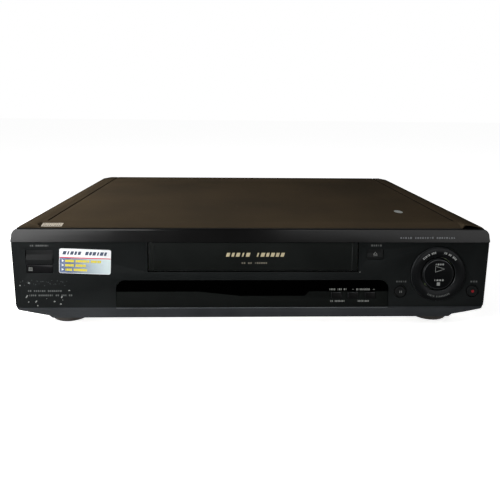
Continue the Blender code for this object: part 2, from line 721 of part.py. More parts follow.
def panel_profile():
    """Side section of the panel: lower strip, field, band, and the two flanges behind."""
    round_y = BAND_FACE_Y + BAND_LEAN + TOP_ROUND
    return [
        (BAND_FACE_Y, PANEL_BOTTOM_Z - OVERRUN),
        (BAND_FACE_Y, PANEL_BOTTOM_Z),
        (BAND_FACE_Y + STRIP_LEAN, STRIP_TOP_Z - STRIP_EDGE),
        (FIELD_Y, STRIP_TOP_Z),
        (FIELD_Y, BAND_BOTTOM_Z),
        (BAND_FACE_Y, BAND_BOTTOM_Z),
        *arc((round_y, PANEL_TOP_Z - TOP_ROUND), TOP_ROUND, math.pi, math.pi / 2),
        (LIP_BACK_Y, PANEL_TOP_Z),
        (LIP_BACK_Y, FLANGE_TOP_Z),
        (PANEL_BACK_Y, FLANGE_TOP_Z),
        (PANEL_BACK_Y, FLANGE_TOP_Z - FLANGE_WALL),
        (PLATE_BACK_Y, FLANGE_TOP_Z - FLANGE_WALL),
        (PLATE_BACK_Y, LOW_FLANGE_TOP_Z),
        (PANEL_BACK_Y, LOW_FLANGE_TOP_Z),
        (PANEL_BACK_Y, LOW_FLANGE_TOP_Z - FLANGE_WALL),
        (PLATE_BACK_Y, LOW_FLANGE_TOP_Z - FLANGE_WALL),
        (PLATE_BACK_Y, PANEL_BOTTOM_Z - OVERRUN),
    ]


def panel_bosses():
    """Where the three front boards are screwed to the panel, as (x, z)."""
    display_x = DISPLAY_BOARD_X - BOSS_INSET
    places = [(s * display_x, z) for s in (-1, 1) for z in grow(DISPLAY_BOARD_Z, -2 * BOSS_INSET)]
    places += [(x, z) for x in grow(LEFT_BOARD_X, -BOSS_INSET) for z in grow(LEFT_BOARD_Z, -BOSS_INSET)]
    right_x = grow(RIGHT_BOARD_X, -BOSS_INSET)
    right_z = grow(RIGHT_BOARD_Z, -BOSS_INSET)
    places += [(right_x[1], right_z[1]), (right_x[1], right_z[0]), (RIGHT_BOSS_X, right_z[1])]
    places += [(right_x[0], RIGHT_BOSS_Z)]
    return places


def make_front_panel():
    bm = bmesh.new()
    reach = SIDE_X + OVERRUN
    prism(bm, panel_profile(), "x", (-reach, reach))
    panel = finish("front_panel", bm, BLACK_PLASTIC)

    bm = bmesh.new()
    face = panel_outline(SIDE_X, SIDE_TAPER, 0, PANEL_TOP_Z + TOP_TRIM, PANEL_CORNER)
    inner = panel_outline(FLANGE_X, 0, FLANGE_TRIM, FLANGE_TOP_Z - FLANGE_TRIM, FLANGE_CORNER)
    stations = (
        (face, FRONT_Y - OVERRUN),
        (face, LIP_BACK_Y),
        (inner, LIP_BACK_Y),
        (inner, PANEL_BACK_Y + OVERRUN),
    )
    loft(bm, [[(x, y, z) for x, z in outline] for outline, y in stations])
    combine(panel, tool("panel_limits", bm), "INTERSECT")

    bm = bmesh.new()
    for side in (-1, 1):
        wall = sorted((side * FLANGE_X, side * (FLANGE_X - RETURN_WALL)))
        block(bm, wall, (PLATE_BACK_Y - ROOT, PANEL_BACK_Y), (RETURN_BOTTOM_Z, RETURN_TOP_Z))
        ear = sorted((side * (DOOR_X + DOOR_GAP), side * (DOOR_X + DOOR_GAP + EAR_WIDTH)))
        ear_z = around(DOOR_AXIS_Z, 2 * EAR_REACH)
        block(bm, ear, (PLATE_BACK_Y - ROOT, PLATE_BACK_Y + EAR_BACK), ear_z)
    boss_y = (PLATE_BACK_Y - ROOT, FRONT_BOARD_Y - SEAT_GAP)
    for x, z in panel_bosses():
        block(bm, around(x, BOSS_SIDE), boss_y, around(z, BOSS_SIDE))
    combine(panel, tool("panel_returns", bm), "UNION")
    combine(panel, tool("panel_cutters", panel_cutters()))

    bm = bmesh.new()
    for side in (-1, 1):
        span = sorted((side * (DOOR_X + DOOR_GAP - OVERRUN), side * (DOOR_X + DOOR_GAP + EAR_WIDTH - SHEET)))
        rod(bm, "x", (DOOR_AXIS_Y, DOOR_AXIS_Z), DOOR_PIN_RADIUS + DOOR_PIN_FIT, span)
    combine(panel, tool("door_pin_bores", bm))


def panel_cutters():
    """Openings for the door, the windows and the controls."""
    bm = bmesh.new()
    through = (FRONT_Y - OVERRUN, PLATE_BACK_Y + OVERRUN)
    pocket_y = BAND_FACE_Y + POCKET_WALL
    pocket_z = DOOR_AXIS_Z + EAR_REACH
    door_span = (-DOOR_X - DOOR_GAP, DOOR_X + DOOR_GAP)
    opening = [
        (through[0], DOOR_BOTTOM_Z - DOOR_GAP),
        (through[1], DOOR_BOTTOM_Z - DOOR_GAP),
        (through[1], pocket_z),
        (pocket_y, pocket_z),
        (pocket_y, DOOR_TOP_Z + DOOR_GAP),
        (through[0], DOOR_TOP_Z + DOOR_GAP),
    ]
    prism(bm, opening, "x", door_span)
    prism(bm, window_outline(SEAT_GAP), "y", through)
    for across, up, gap, corner in (
        (POWER_X, POWER_Z, KEY_GAP, KEY_CORNER),
        (EJECT_X, EJECT_Z, KEY_GAP, KEY_CORNER),
        (SENSOR_X, SENSOR_Z, SEAT_GAP, SENSOR_CORNER),
    ):
        prism(bm, rounded(grow(across, gap), grow(up, gap), corner, corner), "y", through)
    rod(bm, "y", (RING_X, RING_Z), RING_RADIUS + RING_FIT, through, FINE_STEPS)
    for x, z in ((PAUSE_X, PAUSE_Z), (RECORD_X, RECORD_Z)):
        rod(bm, "y", (x, z), DOT_RADIUS + KEY_GAP, through, ROUND_STEPS)
    return bm


def window_outline(gap):
    across = grow((-WINDOW_X, WINDOW_X), gap)
    return rounded(across, grow((WINDOW_BOTTOM_Z, WINDOW_TOP_Z), gap), 0, WINDOW_CORNER)


def cover_half(sheet, fall, groove):
    """Right half of the cover's section, from its lower edge to the crease, at one side of the sheet.

    The border outside the fold keeps its height where the front strip inside it falls.
    """
    top = HEIGHT - sheet
    fold_x = FOLD_X + sheet / 2
    centre = (COVER_X - COVER_ROUND, HEIGHT - BORDER_FALL - COVER_ROUND)
    points = [(COVER_X - sheet, COVER_BOTTOM_Z)]
    points += arc(centre, COVER_ROUND - sheet, 0, math.pi / 2)
    points += [(BORDER_X, top), (fold_x, top), (fold_x - FOLD_WIDTH, top - fall)]
    points += [(CREASE_X + CREASE_WIDTH, top - fall), (CREASE_X, top - fall - groove)]
    return points + [(CREASE_X - CREASE_WIDTH, top - fall)]


def make_top_cover():
    """Folded sheet over the top and both sides, with two long creases and a front strip that slopes down."""
    strip_run = FRONT_STRIP - CREASE_WIDTH
    strip_fall = FRONT_FALL - FRONT_EASE
    strip = [(COVER_FRONT_Y + s * strip_run, FRONT_FALL - s * strip_fall, 0) for s in STRIP_SHARES]
    stations = (
        *strip,
        (FRONT_CREASE_Y, 0, 0),
        (FRONT_CREASE_Y + CREASE_RUN, 0, CREASE_DEPTH),
        (COVER_REAR_Y, 0, CREASE_DEPTH),
    )
    rings = []
    for y, fall, groove in stations:
        outer = cover_half(0, fall, groove)
        inner = cover_half(SHEET, fall, groove)
        outer += [(-x, z) for x, z in reversed(outer)]
        inner += [(-x, z) for x, z in reversed(inner)]
        rings.append([(x, y, z) for x, z in outer + inner[::-1]])
    bm = bmesh.new()
    made = loft(bm, rings, closed_ends=False)
    for ring in (made[0], made[-1]):
        for i in range(len(ring) // 2 - 1):
            bm.faces.new((ring[i], ring[i + 1], ring[-2 - i], ring[-1 - i]))
    cover = finish("top_cover", bm, BROWN_PAINT, smooth=True)

    bm = bmesh.new()
    reach = COVER_X + OVERRUN
    for i in range(VENT_COUNT):
        y = VENT_MIDDLE_Y + (i - (VENT_COUNT - 1) / 2) * VENT_PITCH
        block(bm, (-reach, reach), around(y, VENT_WIDTH), (VENT_LOW_Z, VENT_HIGH_Z))
    combine(cover, tool("cover_vents", bm))


def stand_places():
    """Stand-offs under the two boards on the tray."""
    places = []
    for across, along in ((MAIN_BOARD_X, MAIN_BOARD_Y), (POWER_BOARD_X, POWER_BOARD_Y)):
        for x in grow(across, -STAND_INSET):
            places += [(x, y) for y in grow(along, -STAND_INSET)]
    return places


def make_chassis_tray():
    """Folded steel pan with cooling slots and stand-offs for the boards."""
    bm = bmesh.new()
    block(bm, (-TRAY_X, TRAY_X), (TRAY_FRONT_Y, TRAY_REAR_Y), (TRAY_BOTTOM_Z, TRAY_WALL_Z))
    tray = finish("chassis_tray", bm, PLATED_STEEL)

    bm = bmesh.new()
    inner_x = TRAY_X - SHEET
    inner_y = (TRAY_FRONT_Y + SHEET, TRAY_REAR_Y - SHEET)
    block(bm, (-inner_x, inner_x), inner_y, (TRAY_TOP_Z, TRAY_WALL_Z + OVERRUN))
    combine(tray, tool("tray_hollow", bm))

    bm = bmesh.new()
    rear = (TRAY_REAR_Y - OVERRUN, TRAY_REAR_Y + OVERRUN)
    block(bm, (-inner_x, inner_x), rear, (TRAY_REAR_WALL_Z, TRAY_WALL_Z + OVERRUN))
    for side in (-1, 1):
        for i in range(TRAY_SLOT_COUNT):
            y = TRAY_SLOT_Y + (i - (TRAY_SLOT_COUNT - 1) / 2) * TRAY_SLOT_PITCH
            through = (TRAY_BOTTOM_Z - OVERRUN, TRAY_TOP_Z + OVERRUN)
            block(bm, around(side * TRAY_SLOT_X, TRAY_SLOT_LENGTH), around(y, TRAY_SLOT_WIDTH), through)
    combine(tray, tool("tray_slots", bm))

    bm = bmesh.new()
    for place_xy in stand_places():
        rod(bm, "z", place_xy, STAND_RADIUS, (TRAY_TOP_Z - SHEET / 2, BOARD_BOTTOM_Z - SEAT_GAP))
    combine(tray, tool("tray_stand_offs", bm), "UNION")


def make_foot(name, x, y):
    bm = bmesh.new()
    profile = [
        (0, FOOT_RECESS),
        (FOOT_RADIUS - FOOT_RIM, FOOT_RECESS),
        (FOOT_RADIUS - FOOT_RIM, 0),
        (FOOT_RADIUS - FOOT_ROUND, 0),
        (FOOT_RADIUS, FOOT_ROUND),
        (FOOT_RADIUS, FOOT_TOP_Z),
        (0, FOOT_TOP_Z),
    ]
    turn(bm, profile, "z", (x, y), ROUND_STEPS)
    finish(name, bm, DARK_RUBBER, smooth=True)


def scart_outline(x, inset):
    """The socket's slanted outline, as (x, z)."""
    left, right = grow(around(x, SCART_WIDTH), -inset)
    low, high = grow((SCART_BOTTOM_Z, SCART_BOTTOM_Z + SCART_HEIGHT), -inset)
    return [(left, low), (right - SCART_SLANT, low), (right, low + SCART_SLANT), (right, high), (left, high)]


def make_rear_panel():
    bm = bmesh.new()
    span = (REAR_SHEET_Y, REAR_SHEET_Y + SHEET)
    across = (-REAR_PANEL_X, REAR_PANEL_X)
    prism(bm, rounded(across, (REAR_PANEL_BOTTOM_Z, REAR_PANEL_TOP_Z), 0, REAR_CORNER), "y", span)
    panel = finish("rear_panel", bm, PLATED_STEEL)

    bm = bmesh.new()
    through = grow(span, OVERRUN)
    for x in SCART_X:
        prism(bm, scart_outline(x, -REAR_CUT_GAP), "y", through)
    for i in (-1, 1):
        coax_x = sum(TUNER_X) / 2 + i * COAX_SPACING / 2
        rod(bm, "y", (coax_x, COAX_Z), COAX_RADIUS + REAR_CUT_GAP, through)
        phono_x = sum(PHONO_X) / 2 + i * PHONO_SPACING / 2
        rod(bm, "y", (phono_x, PHONO_Z), PHONO_RADIUS + REAR_CUT_GAP, through)
    inlet = (around(INLET_X, INLET_WIDTH), around(INLET_Z, INLET_HEIGHT))
    prism(bm, rectangle(grow(inlet[0], REAR_CUT_GAP), grow(inlet[1], REAR_CUT_GAP)), "y", through)
    for i in range(REAR_VENT_COUNT):
        x = REAR_VENT_X + (i - (REAR_VENT_COUNT - 1) / 2) * REAR_VENT_PITCH
        block(bm, around(x, REAR_VENT_WIDTH), through, (REAR_VENT_LOW_Z, REAR_VENT_HIGH_Z))
    combine(panel, tool("rear_cut_outs", bm))


def make_display_window():
    """Tinted window: upright at the top, and leaning out to the lower strip at the bottom."""
    bm = bmesh.new()
    face = FIELD_Y + WINDOW_RECESS
    profile = [
        (face - WINDOW_LEAN, WINDOW_BOTTOM_Z),
        (face, WINDOW_SPLIT_Z),
        (face, WINDOW_TOP_Z + OVERRUN),
        (face + WINDOW_THICK, WINDOW_TOP_Z + OVERRUN),
        (face + WINDOW_THICK, WINDOW_BOTTOM_Z),
    ]
    reach = WINDOW_X + OVERRUN
    prism(bm, profile, "x", (-reach, reach))
    window = finish("display_window", bm, GLOSS_BLACK)

    bm = bmesh.new()
    deep = (FRONT_Y - OVERRUN, face + WINDOW_THICK + OVERRUN)
    outline = rounded((-WINDOW_X, WINDOW_X), (WINDOW_BOTTOM_Z - OVERRUN, WINDOW_TOP_Z), 0, WINDOW_CORNER)
    prism(bm, outline, "y", deep)
    combine(window, tool("window_limits", bm), "INTERSECT")

    bm = bmesh.new()
    for x in SMALL_KEY_X:
        block(bm, grow(around(x, SMALL_KEY_WIDTH), KEY_GAP), deep, grow(SMALL_KEY_Z, KEY_GAP))
    combine(window, tool("window_key_holes", bm))


def make_sensor_window():
    bm = bmesh.new()
    span = (FIELD_Y + WINDOW_RECESS, PLATE_BACK_Y)
    prism(bm, rounded(SENSOR_X, SENSOR_Z, SENSOR_CORNER, SENSOR_CORNER), "y", span)
    finish("sensor_window", bm, GLOSS_BLACK)


def make_cassette_door():
    """Door flap with a raised band at each end, hung on two pins above its top edge."""
    bm = bmesh.new()
    edge = DOOR_X - DOOR_RIDGE
    stations = (
        (-DOOR_X, DOOR_RIDGE_HEIGHT),
        (-edge, DOOR_RIDGE_HEIGHT),
        (-edge + DOOR_RIDGE_LEAN, 0),
        (edge - DOOR_RIDGE_LEAN, 0),
        (edge, DOOR_RIDGE_HEIGHT),
        (DOOR_X, DOOR_RIDGE_HEIGHT),
    )
    rings = []
    for x, rise in stations:
        section = rectangle((DOOR_FACE_Y - rise, DOOR_BACK_Y), (DOOR_BOTTOM_Z, DOOR_TOP_Z))
        rings.append([(x, y, z) for y, z in section])
    loft(bm, rings)
    axis = (0, DOOR_AXIS_Y, DOOR_AXIS_Z)
    door = finish("cassette_door", bm, BLACK_PLASTIC, origin=axis)

    arms = bmesh.new()
    pins = bmesh.new()
    centre = (DOOR_AXIS_Y, DOOR_AXIS_Z)
    radius = DOOR_ARM_RADIUS
    foot_z = DOOR_TOP_Z - DOOR_ARM_DROP
    outline = arc(centre, radius, 0, math.pi, 2 * CORNER_STEPS)
    outline += [(DOOR_AXIS_Y - radius / 2, foot_z), (DOOR_AXIS_Y + radius, foot_z)]
    for side in (-1, 1):
        prism(arms, outline, "x", sorted((side * DOOR_X, side * (DOOR_X - DOOR_ARM))))
        span = sorted((side * (DOOR_X - DOOR_ARM / 2), side * (DOOR_X + DOOR_PIN_LENGTH)))
        rod(pins, "x", centre, DOOR_PIN_RADIUS, span)
    combine(door, tool("door_arms", arms), "UNION")
    combine(door, tool("door_pins", pins), "UNION")


def make_wedge_key(name, across, up, ridge_z):
    """Button with a finger dish above a ridge."""
    bm = bmesh.new()
    profile = [
        (FIELD_Y - KEY_FOOT_PROUD, up[0]),
        (FIELD_Y - KEY_PROUD, ridge_z),
        (FIELD_Y + KEY_DISH, (ridge_z + up[1]) / 2),
        (FIELD_Y + KEY_TOP_DISH, up[1]),
        (KEY_BACK_Y, up[1]),
        (KEY_BACK_Y, up[0]),
    ]
    prism(bm, profile, "x", across)
    middle = (sum(across) / 2, KEY_BACK_Y, sum(up) / 2)
    finish(name, bm, KEY_PLASTIC, origin=middle)


def make_round_key(name, x, z):
    bm = bmesh.new()
    face = FIELD_Y - DOT_PROUD
    profile = [
        (0, face + DOT_ROUND / 2),
        (DOT_RADIUS / 2, face + DOT_ROUND / 2),
        (DOT_RADIUS - DOT_ROUND, face),
        (DOT_RADIUS, face + DOT_ROUND),
        (DOT_RADIUS, KEY_BACK_Y),
        (0, KEY_BACK_Y),
    ]
    turn(bm, profile, "y", (x, z), ROUND_STEPS)
    finish(name, bm, KEY_PLASTIC, origin=(x, KEY_BACK_Y, z), smooth=True)


def make_small_key(name, x):
    bm = bmesh.new()
    face = FIELD_Y - SMALL_KEY_PROUD
    block(bm, around(x, SMALL_KEY_WIDTH), (face, KEY_BACK_Y), SMALL_KEY_Z)
    finish(name, bm, KEY_PLASTIC, origin=(x, KEY_BACK_Y, sum(SMALL_KEY_Z) / 2))


def make_shuttle_ring():
    """Spring-centred ring, turned with a finger for winding and still frames."""
    bm = bmesh.new()
    profile = [
        (RING_BORE, RING_BACK_Y),
        (RING_BORE, FRONT_Y + RING_CHAMFER),
        (RING_BORE + RING_CHAMFER, FRONT_Y + RING_DISH),
        (RING_RADIUS - 2 * RING_CHAMFER, FRONT_Y),
        (RING_RADIUS - RING_EDGE, FRONT_Y + RING_EDGE),
        (RING_RADIUS, FRONT_Y + RING_CHAMFER),
        (RING_RADIUS, RING_BACK_Y),
    ]
    turn(bm, profile, "y", (RING_X, RING_Z), FINE_STEPS, hollow=True)
    finish("shuttle_ring", bm, KEY_PLASTIC, origin=(RING_X, RING_BACK_Y, RING_Z), smooth=True)


def make_rocker():
    """Play and stop rocker inside the ring, tilting about its level middle line on a stem."""
    bm = bmesh.new()
    face = FRONT_Y + ROCKER_RECESS
    profile = [
        (0, face),
        (ROCKER_RADIUS - ROCKER_ROUND, face),
        (ROCKER_RADIUS, face + ROCKER_ROUND),
        (ROCKER_RADIUS, face + ROCKER_DEPTH),
        (ROCKER_STEM_RADIUS, face + ROCKER_DEPTH),
        (ROCKER_STEM_RADIUS, FRONT_BOARD_Y - SEAT_GAP),
        (0, FRONT_BOARD_Y - SEAT_GAP),
    ]
    turn(bm, profile, "y", (RING_X, RING_Z), FINE_STEPS)
    middle = (RING_X, face + ROCKER_DEPTH / 2, RING_Z)
    finish("play_stop_rocker", bm, KEY_PLASTIC, origin=middle, smooth=True)


def make_front_boards():
    thick = (FRONT_BOARD_Y, FRONT_BOARD_BACK_Y)
    display = rounded((-DISPLAY_BOARD_X, DISPLAY_BOARD_X), DISPLAY_BOARD_Z, BOSS_INSET, BOSS_INSET)
    power_key = rounded(LEFT_BOARD_X, LEFT_BOARD_Z, BOSS_INSET, BOSS_INSET)
    control_key = rectangle(RIGHT_BOARD_X, RIGHT_BOARD_Z)[1:]
    control_key += [
        (RIGHT_BOARD_X[0], RIGHT_BOARD_NOTCH_Z),
        (RIGHT_BOARD_NOTCH_X, RIGHT_BOARD_NOTCH_Z),
        (RIGHT_BOARD_NOTCH_X, RIGHT_BOARD_Z[0]),
    ]
    boards = (("display_board", display), ("power_key_board", power_key), ("control_key_board", control_key))
    for name, outline in boards:
        bm = bmesh.new()
        prism(bm, outline, "y", thick)
        finish(name, bm, CIRCUIT_BOARD)
    bm = bmesh.new()
    tube_y = (FRONT_BOARD_Y - SEAT_GAP - DISPLAY_TUBE_THICK, FRONT_BOARD_Y - SEAT_GAP)
    prism(bm, rounded(DISPLAY_TUBE_X, DISPLAY_TUBE_Z, SENSOR_CORNER, SENSOR_CORNER), "y", tube_y)
    finish("display_tube", bm, TUBE_GLASS)


def make_tray_boards():
    for name, across, along in (
        ("main_board", MAIN_BOARD_X, MAIN_BOARD_Y),
        ("power_board", POWER_BOARD_X, POWER_BOARD_Y),
    ):
        bm = bmesh.new()
        prism(bm, rounded(across, along, STAND_RADIUS, STAND_RADIUS), "z", (BOARD_BOTTOM_Z, BOARD_TOP_Z))
        finish(name, bm, CIRCUIT_BOARD)


def make_power_parts():
    seat = BOARD_TOP_Z + SEAT_GAP
    bm = bmesh.new()
    block(bm, TRANSFORMER_X, TRANSFORMER_Y, (seat, seat + TRANSFORMER_HEIGHT))
    transformer = finish("power_transformer", bm, COPPER)
    bm = bmesh.new()
    coil_z = (seat + CORE_THICK, seat + TRANSFORMER_HEIGHT - CORE_THICK)
    prism(bm, rounded(grow(TRANSFORMER_X, CORE_OVERHANG), grow(TRANSFORMER_Y, -CORE_OVERHANG / 2),
                      CORE_OVERHANG, CORE_OVERHANG), "z", coil_z)
    combine(transformer, tool("transformer_coil", bm), "UNION")

    bm = bmesh.new()
    top = seat + CAPACITOR_HEIGHT
    profile = [
        (0, seat),
        (CAPACITOR_RADIUS, seat),
        (CAPACITOR_RADIUS, top - CAPACITOR_ROUND),
        (CAPACITOR_RADIUS - CAPACITOR_ROUND, top),
        (0, top),
    ]
    turn(bm, profile, "z", (CAPACITOR_X, CAPACITOR_Y), ROUND_STEPS)
    finish("mains_capacitor", bm, GLOSS_BLACK, smooth=True)

    bm = bmesh.new()
    pitch = (SINK_Y[1] - SINK_Y[0] - SINK_WALL) / (SINK_FIN_COUNT - 1)
    outline = [(SINK_X[1], SINK_Y[1]), (SINK_X[1], SINK_Y[0])]
    for i in range(SINK_FIN_COUNT):
        y = SINK_Y[0] + i * pitch
        root_x = SINK_X[1] - SINK_WALL
        outline += [(root_x, y)] if i else []
        outline += [(SINK_X[0], y), (SINK_X[0], y + SINK_WALL)]
        outline += [(root_x, y + SINK_WALL)] if i < SINK_FIN_COUNT - 1 else []
    prism(bm, outline, "z", (seat, seat + SINK_HEIGHT))
    finish("heat_sink", bm, CAST_ALUMINIUM)


def make_scart_socket(name, x):
    """Socket with a slanted outline, an open mouth and the contact block inside it."""
    bm = bmesh.new()
    front = SOCKET_FACE_Y - SCART_DEPTH
    prism(bm, scart_outline(x, 0), "y", (front, SOCKET_FACE_Y))
    socket = finish(name, bm, BLACK_PLASTIC)

    bm = bmesh.new()
    mouth_y = SOCKET_FACE_Y - SCART_MOUTH_DEPTH
    prism(bm, scart_outline(x, SCART_WALL), "y", (mouth_y, SOCKET_FACE_Y + OVERRUN))
    combine(socket, tool(name + "_mouth", bm))

    bm = bmesh.new()
    inset = -SCART_WALL - SCART_PLUG_GAP
    contact_x = grow(around(x, SCART_WIDTH), inset)
    contact_z = grow((SCART_BOTTOM_Z, SCART_BOTTOM_Z + SCART_HEIGHT), inset)
    block(bm, contact_x, (mouth_y - SCART_ROOT, SOCKET_FACE_Y - SCART_WALL), contact_z)
    foot_x = grow(around(x, SCART_WIDTH), -SCART_SLANT)
    foot_z = (BOARD_TOP_Z + SEAT_GAP, SCART_BOTTOM_Z + SCART_ROOT)
    block(bm, foot_x, (front + SCART_WALL, MAIN_BOARD_Y[1]), foot_z)
    combine(socket, tool(name + "_inside", bm), "UNION")


def make_socket_box(name, paint, across, front_y, top_z, barrels):
    """Box on the main board with round sockets that reach through the rear panel."""
    x_places, z, radius, bore = barrels
    back_y = REAR_SHEET_Y - SEAT_GAP
    bm = bmesh.new()
    block(bm, across, (front_y, back_y), (BOARD_TOP_Z + SEAT_GAP, top_z))
    box = finish(name, bm, paint)
    bm = bmesh.new()
    for x in x_places:
        rod(bm, "y", (x, z), radius, (back_y - SHEET, SOCKET_FACE_Y))
    combine(box, tool(name + "_barrels", bm), "UNION")
    bm = bmesh.new()
    for x in x_places:
        rod(bm, "y", (x, z), bore, (SOCKET_FACE_Y - COAX_DEPTH, SOCKET_FACE_Y + OVERRUN))
    combine(box, tool(name + "_bores", bm))


def make_mains_inlet():
    """Two-pin inlet without its cord."""
    bm = bmesh.new()
    across = around(INLET_X, INLET_WIDTH)
    up = around(INLET_Z, INLET_HEIGHT)
    block(bm, across, (INLET_FRONT_Y, SOCKET_FACE_Y), up)
    inlet = finish("mains_inlet", bm, BLACK_PLASTIC)
    bm = bmesh.new()
    hollow_x = around(INLET_X, INLET_SPACING + 2 * INLET_LOBE)
    hollow = rounded(hollow_x, around(INLET_Z, 2 * INLET_LOBE), INLET_LOBE, INLET_LOBE)
    prism(bm, hollow, "y", (SOCKET_FACE_Y - INLET_DEPTH, SOCKET_FACE_Y + OVERRUN))
    combine(inlet, tool("inlet_hollow", bm))
    bm = bmesh.new()
    for side in (-1, 1):
        pin = (SOCKET_FACE_Y - INLET_DEPTH - SHEET, SOCKET_FACE_Y - INLET_LOBE)
        rod(bm, "y", (INLET_X + side * INLET_SPACING / 2, INLET_Z), INLET_PIN_RADIUS, pin, SMALL_STEPS // 2)
    foot = (INLET_FRONT_Y, POWER_BOARD_Y[1])
    block(bm, grow(across, -SHEET), foot, (BOARD_TOP_Z + SEAT_GAP, up[0] + SHEET))
    combine(inlet, tool("inlet_pins_and_foot", bm), "UNION")


def mirrored_guide(point):
    """A loading guide's place on the other side of the drum."""
    return 2 * DRUM_X - point[0], point[1]


def guide_sides():
    return (
        ("supply_loading_guide", GUIDE_REST, GUIDE_END),
        ("takeup_loading_guide", mirrored_guide(GUIDE_REST), mirrored_guide(GUIDE_END)),
    )


def pinch_places():
    """Pivot of the pinch arm and the roller's centre at rest."""
    pressed_y = CAPSTAN_Y - CAPSTAN_RADIUS - PINCH_RADIUS - PINCH_GAP
    pivot = (CAPSTAN_X + PINCH_ARM_LENGTH, pressed_y)
    angle = math.pi + PINCH_REST_SWING
    roller = (pivot[0] + PINCH_ARM_LENGTH * math.cos(angle), pivot[1] + PINCH_ARM_LENGTH * math.sin(angle))
    return pivot, roller, angle


def make_deck_plate():
    """Deck plate on four legs, with the capstan bearing, the pinch arm's stud and the two guide slots."""
    bm = bmesh.new()
    across = (-DECK_X, DECK_X)
    prism(bm, rounded(across, DECK_Y, DECK_CORNER, DECK_CORNER), "z", (DECK_BOTTOM_Z, DECK_TOP_Z))
    deck = finish("deck_plate", bm, PLATED_STEEL)

    bm = bmesh.new()
    for x in grow(across, -DECK_LEG_INSET):
        for y in grow(DECK_Y, -DECK_LEG_INSET):
            rod(bm, "z", (x, y), DECK_LEG_RADIUS, (BOARD_TOP_Z + SEAT_GAP, DECK_TOP_Z - DECK_THICK / 2))
    middle_z = DECK_BOTTOM_Z + DECK_THICK / 2
    rod(bm, "z", (CAPSTAN_X, CAPSTAN_Y), BEARING_RADIUS, (middle_z, BEARING_TOP_Z))
    rod(bm, "z", pinch_places()[0], PINCH_PIVOT_RADIUS, (middle_z, PINCH_PIVOT_TOP_Z))
    combine(deck, tool("deck_legs_and_studs", bm), "UNION")

    bm = bmesh.new()
    through = (DECK_BOTTOM_Z - OVERRUN, BEARING_TOP_Z + OVERRUN)
    rod(bm, "z", (CAPSTAN_X, CAPSTAN_Y), CAPSTAN_RADIUS + BEARING_FIT, through)
    for _, start, end in guide_sides():
        run = Vector(end) - Vector(start)
        side = Vector((-run.y, run.x)).normalized() * GUIDE_SLOT / 2
        corners = (Vector(start) - side, Vector(start) + side, Vector(end) + side, Vector(end) - side)
        prism(bm, [tuple(c) for c in corners], "z", (DECK_BOTTOM_Z - OVERRUN, DECK_TOP_Z + OVERRUN))
    combine(deck, tool("deck_bores_and_slots", bm))


def tilt(obj):
    obj.data.transform(Matrix.Rotation(DRUM_TILT, 4, "X"))
    obj.location = (DRUM_X, DRUM_Y, DRUM_BASE_Z)


def make_drum():
    """Lower drum on its upright foot, and the rotating upper drum, both leaning forwards."""
    split = DRUM_SPLIT_Z - DRUM_BASE_Z
    top = DRUM_TOP_Z - DRUM_BASE_Z
    bm = bmesh.new()
    lead = DRUM_RADIUS + DRUM_LEAD_STEP
    profile = [
        (0, 0),
        (lead, 0),
        (lead, DRUM_LEAD_HEIGHT),
        (DRUM_RADIUS, DRUM_LEAD_HEIGHT),
        (DRUM_RADIUS, split),
        (0, split),
    ]
    turn(bm, profile, "z", (0, 0), FINE_STEPS)
    lower = finish("lower_drum", bm, CAST_ALUMINIUM, smooth=True)
    tilt(lower)
    bm = bmesh.new()
    foot_z = (ON_DECK_Z, DRUM_BASE_Z + DRUM_LEAD_HEIGHT)
    rod(bm, "z", (DRUM_X, DRUM_Y), DRUM_FOOT_RADIUS, foot_z, ROUND_STEPS)
    combine(lower, tool("drum_foot", bm), "UNION")

    bm = bmesh.new()
    cup = top - DRUM_CUP_DEPTH
    profile = [
        (0, split + SEAT_GAP),
        (DRUM_RADIUS, split + SEAT_GAP),
        (DRUM_RADIUS, top - DRUM_ROUND),
        (DRUM_RADIUS - DRUM_ROUND, top),
        (DRUM_CUP_RADIUS, top),
        (DRUM_CUP_RADIUS, cup),
        (DRUM_HUB_RADIUS, cup),
        (DRUM_HUB_RADIUS, cup + DRUM_HUB_RISE),
        (0, cup + DRUM_HUB_RISE),
    ]
    turn(bm, profile, "z", (0, 0), FINE_STEPS)
    tilt(finish("upper_drum", bm, CHROME, smooth=True))


def make_reel_table(name, x):
    bm = bmesh.new()
    profile = [
        (0, DECK_TOP_Z + REEL_FIT),
        (REEL_RADIUS, DECK_TOP_Z + REEL_FIT),
        (REEL_RADIUS, REEL_FLANGE_Z),
        (REEL_HUB_RADIUS, REEL_FLANGE_Z),
        (REEL_HUB_RADIUS, REEL_HUB_Z),
        (SPINDLE_RADIUS, REEL_HUB_Z),
        (SPINDLE_RADIUS, SPINDLE_Z - SPINDLE_TIP),
        (SPINDLE_RADIUS / 2, SPINDLE_Z),
        (0, SPINDLE_Z),
    ]
    turn(bm, profile, "z", (x, REEL_Y), ROUND_STEPS)
    finish(name, bm, WHITE_PLASTIC, origin=(x, REEL_Y, DECK_TOP_Z), smooth=True)


